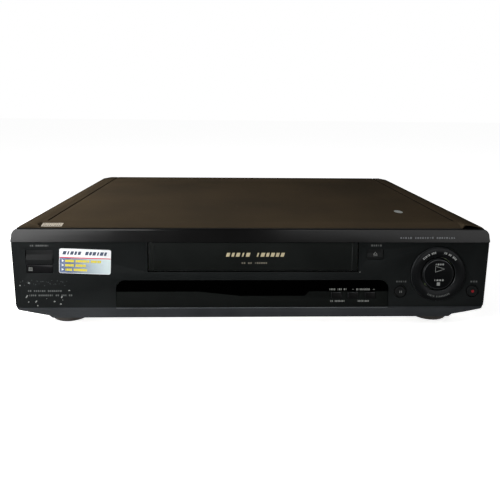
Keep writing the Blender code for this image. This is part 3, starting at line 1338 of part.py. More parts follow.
def make_capstan():
    """Capstan shaft with its flywheel under the deck, over the flat motor stator."""
    bm = bmesh.new()
    profile = [
        (0, FLYWHEEL_Z[0]),
        (FLYWHEEL_RADIUS, FLYWHEEL_Z[0]),
        (FLYWHEEL_RADIUS, FLYWHEEL_Z[1]),
        (CAPSTAN_RADIUS, FLYWHEEL_Z[1]),
        (CAPSTAN_RADIUS, CAPSTAN_TOP_Z),
        (0, CAPSTAN_TOP_Z),
    ]
    turn(bm, profile, "z", (CAPSTAN_X, CAPSTAN_Y), ROUND_STEPS)
    finish("capstan", bm, CHROME, origin=(CAPSTAN_X, CAPSTAN_Y, FLYWHEEL_Z[0]), smooth=True)
    bm = bmesh.new()
    outline = rounded(STATOR_X, STATOR_Y, DECK_CORNER, DECK_CORNER)
    prism(bm, outline, "z", (BOARD_TOP_Z + SEAT_GAP, STATOR_TOP_Z))
    finish("capstan_motor_stator", bm, CIRCUIT_BOARD)


def make_pinch_roller():
    pivot, roller, angle = pinch_places()
    half = PINCH_ARM_WIDTH / 2
    quarter = math.pi / 2
    outline = arc(pivot, half, angle + quarter, angle + 3 * quarter, 2 * CORNER_STEPS)
    outline += arc(roller, half, angle - quarter, angle + quarter, 2 * CORNER_STEPS)
    bm = bmesh.new()
    prism(bm, outline, "z", PINCH_ARM_Z)
    arm = finish("pinch_roller_arm", bm, PLATED_STEEL, origin=(*pivot, PINCH_ARM_Z[0]))
    bm = bmesh.new()
    rod(bm, "z", roller, PINCH_PIN_RADIUS, (sum(PINCH_ARM_Z) / 2, PINCH_PIN_TOP_Z))
    combine(arm, tool("pinch_pin", bm), "UNION")
    bm = bmesh.new()
    rod(bm, "z", pivot, PINCH_PIVOT_RADIUS + PINCH_FIT, grow(PINCH_ARM_Z, OVERRUN))
    combine(arm, tool("pinch_pivot_bore", bm))

    bm = bmesh.new()
    bore = PINCH_PIN_RADIUS + PINCH_FIT
    profile = [(bore, PINCH_Z[0]), (PINCH_RADIUS, PINCH_Z[0]), (PINCH_RADIUS, PINCH_Z[1]), (bore, PINCH_Z[1])]
    turn(bm, profile, "z", roller, ROUND_STEPS, hollow=True)
    finish("pinch_roller", bm, ROLLER_RUBBER, origin=(*roller, PINCH_Z[0]), smooth=True)


def make_loading_guide(name, centre):
    """Sliding base with an upright guide roller between two flanges."""
    bm = bmesh.new()
    block(bm, around(centre[0], GUIDE_BASE), around(centre[1], GUIDE_BASE), (ON_DECK_Z, GUIDE_BASE_TOP_Z))
    guide = finish(name, bm, CAST_ALUMINIUM, origin=(*centre, ON_DECK_Z))
    bm = bmesh.new()
    low = GUIDE_BASE_TOP_Z + GUIDE_FLANGE
    high = GUIDE_TOP_Z - GUIDE_FLANGE
    profile = [
        (0, GUIDE_BASE_TOP_Z - GUIDE_FLANGE),
        (GUIDE_FLANGE_RADIUS, GUIDE_BASE_TOP_Z - GUIDE_FLANGE),
        (GUIDE_FLANGE_RADIUS, low),
        (GUIDE_POST_RADIUS, low),
        (GUIDE_POST_RADIUS, high),
        (GUIDE_FLANGE_RADIUS, high),
        (GUIDE_FLANGE_RADIUS, GUIDE_TOP_Z),
        (0, GUIDE_TOP_Z),
    ]
    turn(bm, profile, "z", centre, SMALL_STEPS)
    combine(guide, tool(name + "_post", bm), "UNION")


def make_tape_head(name, centre, paint):
    """Head block with a rounded tape face, on a thin foot."""
    bm = bmesh.new()
    x = around(centre[0], HEAD_WIDTH)
    y = around(centre[1], HEAD_DEPTH)
    bow_radius = (HEAD_WIDTH ** 2 / 4 + HEAD_BULGE ** 2) / (2 * HEAD_BULGE)
    half_angle = math.asin(HEAD_WIDTH / 2 / bow_radius)
    up = math.pi / 2
    outline = [(x[0], y[0]), (x[1], y[0])]
    outline += arc((centre[0], y[1] + HEAD_BULGE - bow_radius), bow_radius, up - half_angle, up + half_angle)
    prism(bm, outline, "z", (ON_DECK_Z + HEAD_FOOT_THICK / 2, HEAD_TOP_Z))
    head = finish(name, bm, paint)
    bm = bmesh.new()
    block(bm, grow(x, HEAD_FOOT), grow(y, HEAD_FOOT), (ON_DECK_Z, ON_DECK_Z + HEAD_FOOT_THICK))
    combine(head, tool(name + "_foot", bm), "UNION")


def make_loading_motor():
    bm = bmesh.new()
    centre = (LOADING_MOTOR_Y, ON_DECK_Z + MOTOR_CRADLE + LOADING_MOTOR_RADIUS)
    rod(bm, "x", centre, LOADING_MOTOR_RADIUS, LOADING_MOTOR_X, ROUND_STEPS)
    motor = finish("loading_motor", bm, PLATED_STEEL, smooth=True)
    bm = bmesh.new()
    cradle_x = grow(LOADING_MOTOR_X, -MOTOR_CRADLE)
    block(bm, cradle_x, around(centre[0], LOADING_MOTOR_RADIUS), (ON_DECK_Z, centre[1]))
    combine(motor, tool("motor_cradle", bm), "UNION")
    bm = bmesh.new()
    shaft_x = (LOADING_MOTOR_X[0] - LOADING_SHAFT, LOADING_MOTOR_X[0] + SHEET)
    rod(bm, "x", centre, LOADING_SHAFT_RADIUS, shaft_x)
    combine(motor, tool("motor_shaft", bm), "UNION")


def make_lift_bracket(name, side):
    """Upright plate beside the lift, with the level slot that the carriage pins run in."""
    bm = bmesh.new()
    foot_x = BRACKET_X + BRACKET_FOOT
    thick = BRACKET_X - BRACKET_INNER_X
    outline = [
        (side * BRACKET_INNER_X, ON_DECK_Z),
        (side * foot_x, ON_DECK_Z),
        (side * foot_x, ON_DECK_Z + thick),
        (side * BRACKET_X, ON_DECK_Z + thick),
        (side * BRACKET_X, BRACKET_TOP_Z),
        (side * BRACKET_INNER_X, BRACKET_TOP_Z),
    ]
    prism(bm, outline, "y", BRACKET_Y)
    bracket = finish(name, bm, PLATED_STEEL)
    bm = bmesh.new()
    half = LIFT_PIN_RADIUS + LIFT_PIN_FIT
    across = sorted((side * (BRACKET_INNER_X - OVERRUN), side * (BRACKET_X + OVERRUN)))
    along = (CARRIAGE_PIN_Y[0] - half, CARRIAGE_PIN_Y[1] + LIFT_IN + half)
    prism(bm, rounded(along, around(CARRIAGE_PIN_Z, 2 * half), half, half), "x", across)
    combine(bracket, tool(name + "_slot", bm))


def make_cassette_carriage():
    """Frame that moves in with the cassette, with upright slots for the holder's pins."""
    bm = bmesh.new()
    inner = CARRIAGE_X - SHEET
    outline = [
        (-CARRIAGE_X, CARRIAGE_BOTTOM_Z),
        (-CARRIAGE_X, CARRIAGE_TOP_Z),
        (CARRIAGE_X, CARRIAGE_TOP_Z),
        (CARRIAGE_X, CARRIAGE_BOTTOM_Z),
        (inner, CARRIAGE_BOTTOM_Z),
        (inner, CARRIAGE_TOP_Z - SHEET),
        (-inner, CARRIAGE_TOP_Z - SHEET),
        (-inner, CARRIAGE_BOTTOM_Z),
    ]
    prism(bm, outline, "y", (LIFT_FRONT_Y, LIFT_REAR_Y))
    carriage = finish("cassette_carriage", bm, PLATED_STEEL)

    bm = bmesh.new()
    half = LIFT_PIN_RADIUS + LIFT_PIN_FIT
    reach = CARRIAGE_X + OVERRUN
    for y in LIFT_PIN_Y:
        slot_z = (HOLDER_PIN_Z - LIFT_DOWN - half, HOLDER_PIN_Z + half)
        slot = rounded(around(y, 2 * half), slot_z, half, half)
        prism(bm, slot, "x", (-reach, reach))
    combine(carriage, tool("carriage_slots", bm))
    bm = bmesh.new()
    open_x = inner - CARRIAGE_FLANGE
    open_y = (LIFT_FRONT_Y + CARRIAGE_TIE, LIFT_REAR_Y - CARRIAGE_TIE)
    block(bm, (-open_x, open_x), open_y, grow((CARRIAGE_TOP_Z - SHEET, CARRIAGE_TOP_Z), OVERRUN / 2))
    combine(carriage, tool("carriage_window", bm))
    bm = bmesh.new()
    for side in (-1, 1):
        for y in CARRIAGE_PIN_Y:
            span = sorted((side * (CARRIAGE_X - SHEET / 2), side * (BRACKET_X - LIFT_PIN_END_GAP)))
            rod(bm, "x", (y, CARRIAGE_PIN_Z), LIFT_PIN_RADIUS, span)
    combine(carriage, tool("carriage_pins", bm), "UNION")


def make_cassette_holder():
    """Sheet cage that the cassette slides into: two ledges below, side walls and a top with a window."""
    bm = bmesh.new()
    inner = HOLDER_X - SHEET
    ledge = inner - HOLDER_LEDGE
    low = CASSETTE_FLOOR_Z - SHEET
    right = [
        (ledge, low),
        (HOLDER_X, low),
        (HOLDER_X, HOLDER_TOP_Z),
    ]
    inside = [
        (inner, HOLDER_TOP_Z - SHEET),
        (inner, CASSETTE_FLOOR_Z),
        (ledge, CASSETTE_FLOOR_Z),
    ]
    outline = right + [(-x, z) for x, z in reversed(right)]
    outline += [(-x, z) for x, z in reversed(inside)] + inside
    prism(bm, outline, "y", (LIFT_FRONT_Y, LIFT_REAR_Y))
    holder = finish("cassette_holder", bm, PLATED_STEEL)
    bm = bmesh.new()
    window_x = inner - HOLDER_TOP_SLOT
    window_y = (LIFT_FRONT_Y + HOLDER_TOP_SLOT, LIFT_REAR_Y - HOLDER_TOP_SLOT / 2)
    block(bm, (-window_x, window_x), window_y, grow((HOLDER_TOP_Z - SHEET, HOLDER_TOP_Z), OVERRUN))
    combine(holder, tool("holder_window", bm))
    bm = bmesh.new()
    for side in (-1, 1):
        for y in LIFT_PIN_Y:
            span = sorted((side * (HOLDER_X - SHEET / 2), side * (CARRIAGE_X - LIFT_PIN_END_GAP)))
            rod(bm, "x", (y, HOLDER_PIN_Z), LIFT_PIN_RADIUS, span)
    combine(holder, tool("holder_pins", bm), "UNION")


def make_housing():
    make_front_panel()
    make_top_cover()
    make_chassis_tray()
    make_rear_panel()
    for end, y in (("front", FRONT_FOOT_Y), ("rear", REAR_FOOT_Y)):
        for side, x in (("left", -FOOT_X), ("right", FOOT_X)):
            make_foot(f"{end}_{side}_foot", x, y)


def make_controls():
    make_display_window()
    make_sensor_window()
    make_cassette_door()
    make_wedge_key("power_button", POWER_X, POWER_Z, POWER_RIDGE_Z)
    make_wedge_key("eject_button", EJECT_X, EJECT_Z, EJECT_RIDGE_Z)
    make_shuttle_ring()
    make_rocker()
    make_round_key("pause_button", PAUSE_X, PAUSE_Z)
    make_round_key("record_button", RECORD_X, RECORD_Z)
    for name, x in zip(("setup_button", "program_down_button", "program_up_button"), SMALL_KEY_X):
        make_small_key(name, x)


def make_electronics():
    make_front_boards()
    make_tray_boards()
    make_power_parts()
    for name, x in zip(("scart_socket_left", "scart_socket_right"), SCART_X):
        make_scart_socket(name, x)
    coax = [sum(TUNER_X) / 2 + i * COAX_SPACING / 2 for i in (-1, 1)]
    make_socket_box("aerial_tuner", PLATED_STEEL, TUNER_X, TUNER_FRONT_Y, TUNER_TOP_Z,
                    (coax, COAX_Z, COAX_RADIUS, COAX_BORE))
    phono = [sum(PHONO_X) / 2 + i * PHONO_SPACING / 2 for i in (-1, 1)]
    make_socket_box("audio_sockets", BLACK_PLASTIC, PHONO_X, PHONO_FRONT_Y, PHONO_TOP_Z,
                    (phono, PHONO_Z, PHONO_RADIUS, PHONO_BORE))
    make_mains_inlet()


def make_tape_deck():
    make_deck_plate()
    make_drum()
    make_reel_table("supply_reel_table", -REEL_X)
    make_reel_table("takeup_reel_table", REEL_X)
    make_capstan()
    make_pinch_roller()
    for name, start, _ in guide_sides():
        make_loading_guide(name, start)
    make_tape_head("erase_head", ERASE_HEAD, GLOSS_BLACK)
    make_tape_head("audio_control_head", AUDIO_HEAD, PLATED_STEEL)
    make_loading_motor()
    make_lift_bracket("left_lift_bracket", -1)
    make_lift_bracket("right_lift_bracket", 1)
    make_cassette_carriage()
    make_cassette_holder()


clear_scene()
make_housing()
make_controls()
make_electronics()
make_tape_deck()
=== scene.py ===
"""Looks of the front-loading video cassette recorder: finishes, prints, sticker, screws, light, camera."""

import json
import math
import bmesh
import bpy
from mathutils import Matrix, Vector
from mathutils.bvhtree import BVHTree


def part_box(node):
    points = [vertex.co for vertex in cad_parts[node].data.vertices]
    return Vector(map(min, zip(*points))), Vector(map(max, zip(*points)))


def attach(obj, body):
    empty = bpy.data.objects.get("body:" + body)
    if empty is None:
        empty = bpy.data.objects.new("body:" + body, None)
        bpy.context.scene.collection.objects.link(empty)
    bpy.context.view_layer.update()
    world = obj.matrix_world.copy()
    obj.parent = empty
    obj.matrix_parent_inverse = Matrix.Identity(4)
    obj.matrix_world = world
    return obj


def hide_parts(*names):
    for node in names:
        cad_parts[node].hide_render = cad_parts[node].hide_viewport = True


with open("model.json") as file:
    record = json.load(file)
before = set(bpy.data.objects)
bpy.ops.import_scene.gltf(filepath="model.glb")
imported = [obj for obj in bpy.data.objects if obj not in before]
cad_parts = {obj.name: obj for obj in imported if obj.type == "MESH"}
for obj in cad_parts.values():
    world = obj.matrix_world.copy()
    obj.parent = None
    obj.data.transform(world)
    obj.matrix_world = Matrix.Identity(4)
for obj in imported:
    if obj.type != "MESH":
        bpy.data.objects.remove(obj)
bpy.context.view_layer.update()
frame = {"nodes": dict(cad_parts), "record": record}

MM = 0.001
DEG = math.pi / 180
NODES = frame["nodes"]
BODY_OF = {node: body for body, nodes in frame["record"]["behaviour"]["bodies"].items() for node in nodes}

# Places read from the frame
PANEL_LOW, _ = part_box("front_panel")
WINDOW_LOW, WINDOW_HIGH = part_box("display_window")
RING_LOW, RING_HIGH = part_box("shuttle_ring")
COVER_LOW, COVER_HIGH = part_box("top_cover")
_, REAR_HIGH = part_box("rear_panel")
RING_X = (RING_LOW.x + RING_HIGH.x) / 2
RING_Z = (RING_LOW.z + RING_HIGH.z) / 2

# Zones of the front panel
BAND_PROUD = 1.6 * MM
BAND_BOTTOM_Z = 80 * MM
STRIP_TOP_Z = 19 * MM
FIELD_Y = PANEL_LOW.y + BAND_PROUD
ZONE_SLACK = 0.1 * MM
# Faces in the recesses behind the field, and under the brow, are painted near-black as shade
PAINTED_SHADE_REACH = 207 * MM
PAINTED_SHADE_LOW_Z = 16 * MM
FACES_UP = 0.7
FIELD, BAND, STRIP, LEDGE_HIGHLIGHT, PAINTED_SHADE = range(5)
# Height of the painted highlight line along the window's lower edge
WINDOW_HIGHLIGHT_LINE = 0.5 * MM

# Merged faces and rounded edges
WELD = 0.002 * MM
FLAT_WITHIN = 0.6 * DEG
ROUNDED_FROM = 28 * DEG
SMOOTH_WITHIN = 35 * DEG
GRAIN = 0.35 * MM

# Trims of the cover
CORNER_CUT = 14 * MM
CORNER_LIFT_SHARE = 0.7
CORNER_REACH = 1 * MM
CUT_SLACK = 1e-7
BORDER_INNER_X = 193.6 * MM
BORDER_LOW_Z = 89 * MM
BORDER_REACH = 0.1 * MM
BORDER_DROP = 3 * MM
# Where the slopes of the creases are painted darker as shade
CREASE_X = 188.5 * MM
CREASE_HALF = 1.1 * MM
CREASE_DEPTH = 1.2 * MM
CREASE_FLAT = 0.95
SIDE_WALL = 0.9

# Gaps of moving pieces
DOOR_EASE = 0.4 * MM
ROUND_KEY_SHARE = 0.94

# Prints
PRINT_THICK = 0.03 * MM
PRINT_SINK = 0.06 * MM
STROKE = 0.32 * MM
LETTER_SHARES = (0.62, 0.74, 0.5, 0.7, 0.3, 0.66, 0.56, 0.72)
SQUARE = ((-1, -1), (1, -1), (1, 1), (-1, 1))

# Rows of blocks, in millimetres: start and end across, height, letter height, letters in each word
FIELD_ROWS = (
    (-200.4, -183.3, 76.3, 1.5, (2, 7)),
    (106.9, 117.0, 76.7, 1.7, (5,)),
    (131.2, 141.0, 42.8, 1.6, (5,)),
    (200.4, 207.7, 42.7, 1.6, (3,)),
    (-203.3, -172.8, 34.6, 1.5, (2, 6, 7)),
    (-202.3, -163.4, 30.5, 1.5, (4, 8, 2, 3, 2)),
)
BAND_ROWS = ((132.9, 184.1, 84.2, 1.6, (5, 8, 8)),)
ROCKER_ROWS = ((166.1, 174.8, 59.5, 1.5, (4,)), (165.4, 175.2, 44.6, 1.5, (4,)))
WINDOW_ROWS = (
    (69.2, 86.0, 35.5, 1.7, (4, 3, 2)),
    (94.4, 107.4, 35.4, 1.7, (7,)),
    (70.5, 84.4, 24.6, 1.5, (2, 7)),
    (96.0, 106.5, 24.6, 1.5, (8,)),
)
DOOR_ROWS = ((-25.5, 28.5, 67.9, 3.6, (5, 6)),)
DOOR_SLANT = 0.3
SMALL_DOOR_ROWS = ((-11.4, 12.4, 60.2, 1.5, (2, 2, 6)),)

# Minus and plus in the window, in millimetres: start and end of each stroke
WINDOW_SIGNS = (
    ((90.9, 35.5), (92.3, 35.5)),
    ((110.3, 35.4), (111.9, 35.4)),
    ((111.1, 34.6), (111.1, 36.2)),
)

# Symbols on the keys, the sensor window and the rocker
PAUSE_X = 135.7 * MM
PAUSE_Z = 33.3 * MM
PAUSE_SPREAD = 0.75 * MM
PAUSE_BAR = (0.6 * MM, 2.0 * MM)
RECORD_DOT = (203.0 * MM, 33.8 * MM, 1.3 * MM)
EJECT_X = 111.2 * MM
EJECT_Z = 68.9 * MM
EJECT_HALF = 1.7 * MM
EJECT_BASE = 0.6 * MM
EJECT_TOP = 1.4 * MM
EJECT_LINE = 1.6 * MM
SENSOR_X = -200.1 * MM
SENSOR_Z = 54.7 * MM
SENSOR_SIDE = 2.8 * MM
SENSOR_OUTLINE = 0.4 * MM
SENSOR_LINE = 0.28 * MM
SENSOR_LINE_X = (-200.9 * MM, -199.3 * MM)
SENSOR_LINE_PITCH = 0.7 * MM
PLAY_MARK = ((166.9 * MM, 52.3 * MM), (175.0 * MM, 55.1 * MM), (166.9 * MM, 57.9 * MM))
STOP_MARK = (170.1 * MM, 41.0 * MM, 3.0 * MM, 3.0 * MM)

# Rows round the ring: start and end angle in degrees, letters in each word
RING_PRINT_RADIUS = 20.7 * MM
RING_ROWS = ((137, 99, (5, 3)), (79, 41, (2, 2, 3)))
RING_LETTER = 1.9 * MM
LOWER_RING_ROW = (241, 301, (5, 9))
LOWER_RING_LETTER = 1.5 * MM

# Window colours: black above a level, a little lighter below it, with the level lower in front of the display
MASK_Z = 33.6 * MM
MASK_DROP = 4.1 * MM
MASK_SOFT = 0.25 * MM
MASK_LEFT = (-50 * MM, -12 * MM)
MASK_RIGHT = (47 * MM, 51 * MM)

# Sticker on the field
STICKER_X = -151.55 * MM
STICKER_Z = 61.8 * MM
STICKER_WIDTH = 45.9 * MM
STICKER_HEIGHT = 22.6 * MM
STICKER_TURN = -2.1 * DEG
STICKER_CORNER = 1.8 * MM
STICKER_THICK = 0.1 * MM
STICKER_HEAD = 8.2 * MM
STICKER_TRIM = 0.35 * MM
RULE_HEIGHT = 0.8 * MM
ROW_LEVELS = (0.21, 0.49, 0.77)
ROW_WORDS = ((5, 8, 6), (5, 6), (4, 8))
ROW_LEFT = 5.4 * MM
ROW_PITCH = 1.52 * MM
ROW_HEIGHT = 2.1 * MM
ROW_FULLER = 0.26
BULLET_LEFT = 2.4 * MM
BULLET_RIGHT = 4.4 * MM
BULLET_HALF = 1.1 * MM
HEAD_WORDS = (5, 6)
HEAD_LEFT = 3.0 * MM
HEAD_PITCH = 3.3 * MM
HEAD_RISE = 0.2 * MM
HEAD_HALF = 1.6 * MM
HEAD_SLANT = 0.5 * MM
HEAD_FULLER = 0.14

# Chips in the finish, in millimetres and degrees: across, height, size, slant, stretch
CHIPS = (
    (-204.0, 29.6, 0.55, 55, 2.6), (-202.5, 24.4, 0.5, 0, 1.3), (-195.9, 24.8, 0.5, 50, 2.6),
    (-194.6, 20.9, 0.5, 20, 1.2), (-179.5, 24.8, 0.6, 0, 1.2), (-172.9, 29.0, 0.6, 70, 1.6),
    (-173.9, 22.4, 0.65, 10, 1.2), (-166.1, 35.0, 0.4, 10, 2.2), (-209.8, 39.7, 0.45, 0, 1.3),
    (-201.8, 42.0, 0.6, 0, 1.4), (-172.2, 26.2, 0.3, 0, 1.0), (-186.5, 27.4, 0.25, 0, 1.0),
    (97.4, 51.7, 0.35, 30, 1.3),
)
CHIP_CORNERS = 9

# Rubbed marks in a wavy row
RUB_COUNT = 26
RUB_LEFT = -209 * MM
RUB_PITCH = 1.62
RUB_Z = 42.2 * MM
RUB_SIZE = 0.34 * MM

# Label and pale dot on the cover
LABEL = (-181.8 * MM, -137.2 * MM, 18.4 * MM, 6.2 * MM)
LABEL_ROWS_Y = (-138.6 * MM, -135.9 * MM)
LABEL_LEFT = -188.8 * MM
LABEL_LETTERS = 8
LABEL_PITCH = 2.0 * MM
LABEL_LETTER = 1.0 * MM
DOT_X = 150 * MM
DOT_Y = -87 * MM
DOT_RADIUS = 4.0 * MM
DOT_STRETCH = 1.7

# Screws, in millimetres: radius and distance along the axis, places, and the cross in the head
SCREW_HEAD = ((0, 1.3), (1.6, 1.15), (2.6, 0.7), (3.0, 0.1), (3.0, -0.2), (0, -0.2))
SIDE_SCREWS_Y = (-95, 105)
SIDE_SCREWS_Z = 25
REAR_SCREWS = ((-200, 84), (0, 86), (200, 84), (-110, 16.5), (110, 16.5))
CROSS_LEVEL = 1.25
CROSS_REACH = 1.5
CROSS_HALF = 0.28
CROSS_PROUD = 0.08
CROSS_SINK = 0.3

# Rings round the audio sockets
AUDIO_RINGS = (("left_audio_ring", -1, "white"), ("right_audio_ring", 1, "red_ink"))
AUDIO_SPREAD = 8 * MM
AUDIO_Z = 28 * MM
AUDIO_PROFILE = ((4.3 * MM, 0), (4.3 * MM, 0.3 * MM), (5.4 * MM, 0.3 * MM), (5.4 * MM, 0))

# Studio
FLOOR_REACH = 6.0
FLOOR_LIFT = 0.76
WORLD_LIGHT = 0.24
LIGHTS = (
    # name, place, target, size, power, roll, seen by glossy surfaces alone
    ("key_light", (-0.55, -0.55, 0.36), (-0.05, -0.1, 0.05), (0.4, 0.4), 5.0, 0.0, False),
    ("side_light", (-0.4, 0.0, 0.31), (0, 0, 0.09), (0.2, 0.35), 1.4, 0.0, False),
    ("top_light", (0.1, 0.3, 1.5), (0, 0, 0.05), (1.4, 1.0), 1.8, 0.0, False),
    ("left_card", (-0.41, -0.45, 0.19), (-0.41, 0, 0.19), (0.5, 0.4), 34.0, 13.3 * DEG, True),
    ("right_card", (0.36, -0.45, 0.2), (0.36, 0, 0.2), (0.6, 0.4), 12.0, -4.6 * DEG, True),
)

# Camera fitted to the photograph: lengths in pixels of a square picture, sensor in millimetres
PICTURE = 500
FOCAL_PIXELS = 492.86
CENTRE_ROW = 149.83
SENSOR = 36
CAMERA_PLACE = (-19.11 * MM, -578.75 * MM, 203.08 * MM)
CAMERA_YAW = 0.03356
CAMERA_PITCH = 0.09036
CAMERA_ROLL = 0.01033


def srgb(r, g, b):
    """A colour written in 0 to 255 display values, as linear light."""
    values = []
    for v in (r, g, b):
        v /= 255
        values.append(v / 12.92 if v <= 0.04045 else ((v + 0.055) / 1.055) ** 2.4)
    return tuple(values)


class Look:
    """A node material under construction: object coordinates, noises, mixes and one Principled shader."""

    def __init__(self, name, colour, roughness, metallic=0.0, specular=0.5):
        self.material = bpy.data.materials.new(name)
        self.material.use_nodes = True
        self.tree = self.material.node_tree
        self.shader = self.tree.nodes["Principled BSDF"]
        self.shader.inputs["Base Color"].default_value = (*colour, 1)
        self.shader.inputs["Roughness"].default_value = roughness
        self.shader.inputs["Metallic"].default_value = metallic
        self.shader.inputs["Specular IOR Level"].default_value = specular
        self.coords = self.tree.nodes.new("ShaderNodeTexCoord").outputs["Object"]

    def link(self, output, target):
        self.tree.links.new(output, target)

    def stretched(self, scale):
        """Object coordinates stretched by a vector, for grain that runs one way."""
        node = self.tree.nodes.new("ShaderNodeMapping")
        node.inputs["Scale"].default_value = scale
        self.link(self.coords, node.inputs["Vector"])
        return node.outputs["Vector"]

    def noise(self, scale, detail=3.0, vector=None):
        node = self.tree.nodes.new("ShaderNodeTexNoise")
        node.inputs["Scale"].default_value = scale
        node.inputs["Detail"].default_value = detail
        self.link(vector or self.coords, node.inputs["Vector"])
        return node.outputs["Fac"]

    def cells(self, scale):
        node = self.tree.nodes.new("ShaderNodeTexVoronoi")
        node.inputs["Scale"].default_value = scale
        self.link(self.coords, node.inputs["Vector"])
        return node.outputs["Distance"]

    def ramp(self, fac, low, high, low_value, high_value):
        """A value that goes from low_value to high_value while fac goes from low to high."""
        node = self.tree.nodes.new("ShaderNodeMapRange")
        node.inputs["From Min"].default_value = low
        node.inputs["From Max"].default_value = high
        node.inputs["To Min"].default_value = low_value
        node.inputs["To Max"].default_value = high_value
        self.link(fac, node.inputs["Value"])
        return node.outputs["Result"]

    def mix(self, fac, first, second):
        """A colour between two colours, each a tuple or an output."""
        node = self.tree.nodes.new("ShaderNodeMix")
        node.data_type = "RGBA"
        self.link(fac, node.inputs["Factor"])
        for value, target in ((first, node.inputs["A"]), (second, node.inputs["B"])):
            target = [i for i in node.inputs if i.name == target.name and i.type == "RGBA"][0]
            if isinstance(value, tuple):
                target.default_value = (*value, 1)
            else:
                self.link(value, target)
        return [o for o in node.outputs if o.type == "RGBA"][0]

    def math(self, operation, first, second):
        """A sum, product or the like of two values, each a number or an output."""
        node = self.tree.nodes.new("ShaderNodeMath")
        node.operation = operation
        for value, target in zip((first, second), node.inputs):
            if isinstance(value, (int, float)):
                target.default_value = value
            else:
                self.link(value, target)
        return node.outputs[0]

    def axis(self, name):
        """One of the object coordinates, in metres."""
        node = self.tree.nodes.new("ShaderNodeSeparateXYZ")
        self.link(self.coords, node.inputs[0])
        return node.outputs[name]

    def tint(self, output):
        self.link(output, self.shader.inputs["Base Color"])

    def gloss(self, output):
        self.link(output, self.shader.inputs["Roughness"])

    def bump(self, height, strength, distance):
        node = self.tree.nodes.new("ShaderNodeBump")
        node.inputs["Strength"].default_value = strength
        node.inputs["Distance"].default_value = distance
        self.link(height, node.inputs["Height"])
        self.link(node.outputs["Normal"], self.shader.inputs["Normal"])


def moulded(name, colour, roughness, strength=0.25, specular=0.5):
    """Moulded plastic: fine spark-eroded grain, and a faint unevenness of colour and gloss."""
    look = Look(name, colour, roughness, specular=specular)
    fine = look.noise(1 / GRAIN, 2.0)
    broad = look.noise(18.0, 4.0)
    darker = tuple(c * 0.82 for c in colour)
    lighter = tuple(c * 1.22 + 0.0006 for c in colour)
    look.tint(look.mix(look.ramp(broad, 0.3, 0.7, 0.0, 1.0), darker, lighter))
    look.gloss(look.ramp(broad, 0.3, 0.7, roughness - 0.04, roughness + 0.05))
    look.bump(fine, strength, 0.05 * MM)
    return look.material


def painted_sheet(name, colour, roughness, specular):
    """Satin paint on sheet steel: soft orange peel, a little dust, and gloss that varies slightly."""
    look = Look(name, colour, roughness, specular=specular)
    peel = look.noise(900.0, 3.0)
    broad = look.noise(9.0, 5.0)
    warm = tuple(c * f for c, f in zip(colour, (1.18, 1.12, 1.05)))
    dark = tuple(c * f for c, f in zip(colour, (0.86, 0.86, 0.88)))
    base = look.mix(look.ramp(broad, 0.32, 0.68, 0.0, 1.0), dark, warm)
    dust = look.ramp(look.noise(420.0, 6.0), 0.66, 0.78, 0.0, 0.16)
    look.tint(look.mix(dust, base, srgb(120, 112, 100)))
    look.gloss(look.ramp(broad, 0.3, 0.7, roughness - 0.05, roughness + 0.07))
    look.bump(peel, 0.12, 0.06 * MM)
    return look.material


def metal(name, colour, roughness, grain_scale=(60, 2600, 60), strength=0.12):
    """Rolled or turned metal with fine lines and cloudy gloss."""
    look = Look(name, colour, roughness, metallic=1.0)
    lines = look.noise(1.0, 2.0, look.stretched(grain_scale))
    cloud = look.noise(30.0, 3.0)
    look.tint(look.mix(look.ramp(cloud, 0.3, 0.7, 0.0, 1.0), tuple(c * 0.86 for c in colour), colour))
    look.gloss(look.ramp(lines, 0.3, 0.7, roughness - 0.06, roughness + 0.1))
    look.bump(lines, strength, 0.02 * MM)
    return look.material


def circuit_board(name, laminate, mask):
    """Laminate with printed tracks that show as cell edges, and small solder dots."""
    look = Look(name, laminate, 0.5)
    tracks = look.ramp(look.cells(160.0), 0.28, 0.32, 0.0, 1.0)
    weave = look.noise(1500.0, 2.0)
    dots = look.ramp(look.cells(520.0), 0.16, 0.2, 1.0, 0.0)
    base = look.mix(tracks, laminate, mask)
    look.tint(look.mix(dots, base, srgb(170, 168, 160)))
    look.gloss(look.ramp(weave, 0.3, 0.7, 0.4, 0.6))
    look.bump(weave, 0.1, 0.05 * MM)
    return look.material


def rubber(name, colour):
    """Dull rubber with fine grain and paler scuffs."""
    look = Look(name, colour, 0.75, specular=0.1)
    fine = look.noise(2200.0, 3.0)
    scuff = look.ramp(look.noise(140.0, 6.0), 0.58, 0.75, 0.0, 0.35)
    look.tint(look.mix(scuff, colour, tuple(c * 2.2 + 0.01 for c in colour)))
    look.gloss(look.ramp(fine, 0.3, 0.7, 0.65, 0.85))
    look.bump(fine, 0.3, 0.05 * MM)
    return look.material


def flat_ink(name, colour, roughness=0.5):
    """Silk-screened ink: slightly uneven coverage and a dry surface."""
    look = Look(name, colour, roughness, specular=0.02)
    cover = look.ramp(look.noise(2600.0, 4.0), 0.3, 0.75, 0.0, 0.35)
    look.tint(look.mix(cover, colour, tuple(c * 0.7 for c in colour)))
    look.gloss(look.ramp(look.noise(900.0, 2.0), 0.3, 0.7, roughness - 0.1, roughness + 0.1))
    return look.material


def window_plastic(name, smoked, lower):
    """Smoked window: black above a level and a little lighter below it, the level dipping in front of the
    display.
    """
    look = Look(name, smoked, 0.14, specular=0.0)
    left = look.ramp(look.axis("X"), *MASK_LEFT, 0.0, MASK_DROP)
    right = look.ramp(look.axis("X"), *MASK_RIGHT, MASK_DROP, 0.0)
    level = look.math("ADD", look.axis("Z"), look.math("MINIMUM", left, right))
    haze = look.ramp(look.noise(60.0, 4.0), 0.35, 0.75, 0.0, 0.3)
    hazed = look.mix(haze, lower, tuple(c * 1.3 for c in lower))
    above = look.ramp(level, MASK_Z - MASK_SOFT, MASK_Z + MASK_SOFT, 0.0, 1.0)
    look.tint(look.mix(above, hazed, smoked))
    look.gloss(look.ramp(look.noise(25.0, 3.0), 0.3, 0.7, 0.1, 0.2))
    return look.material


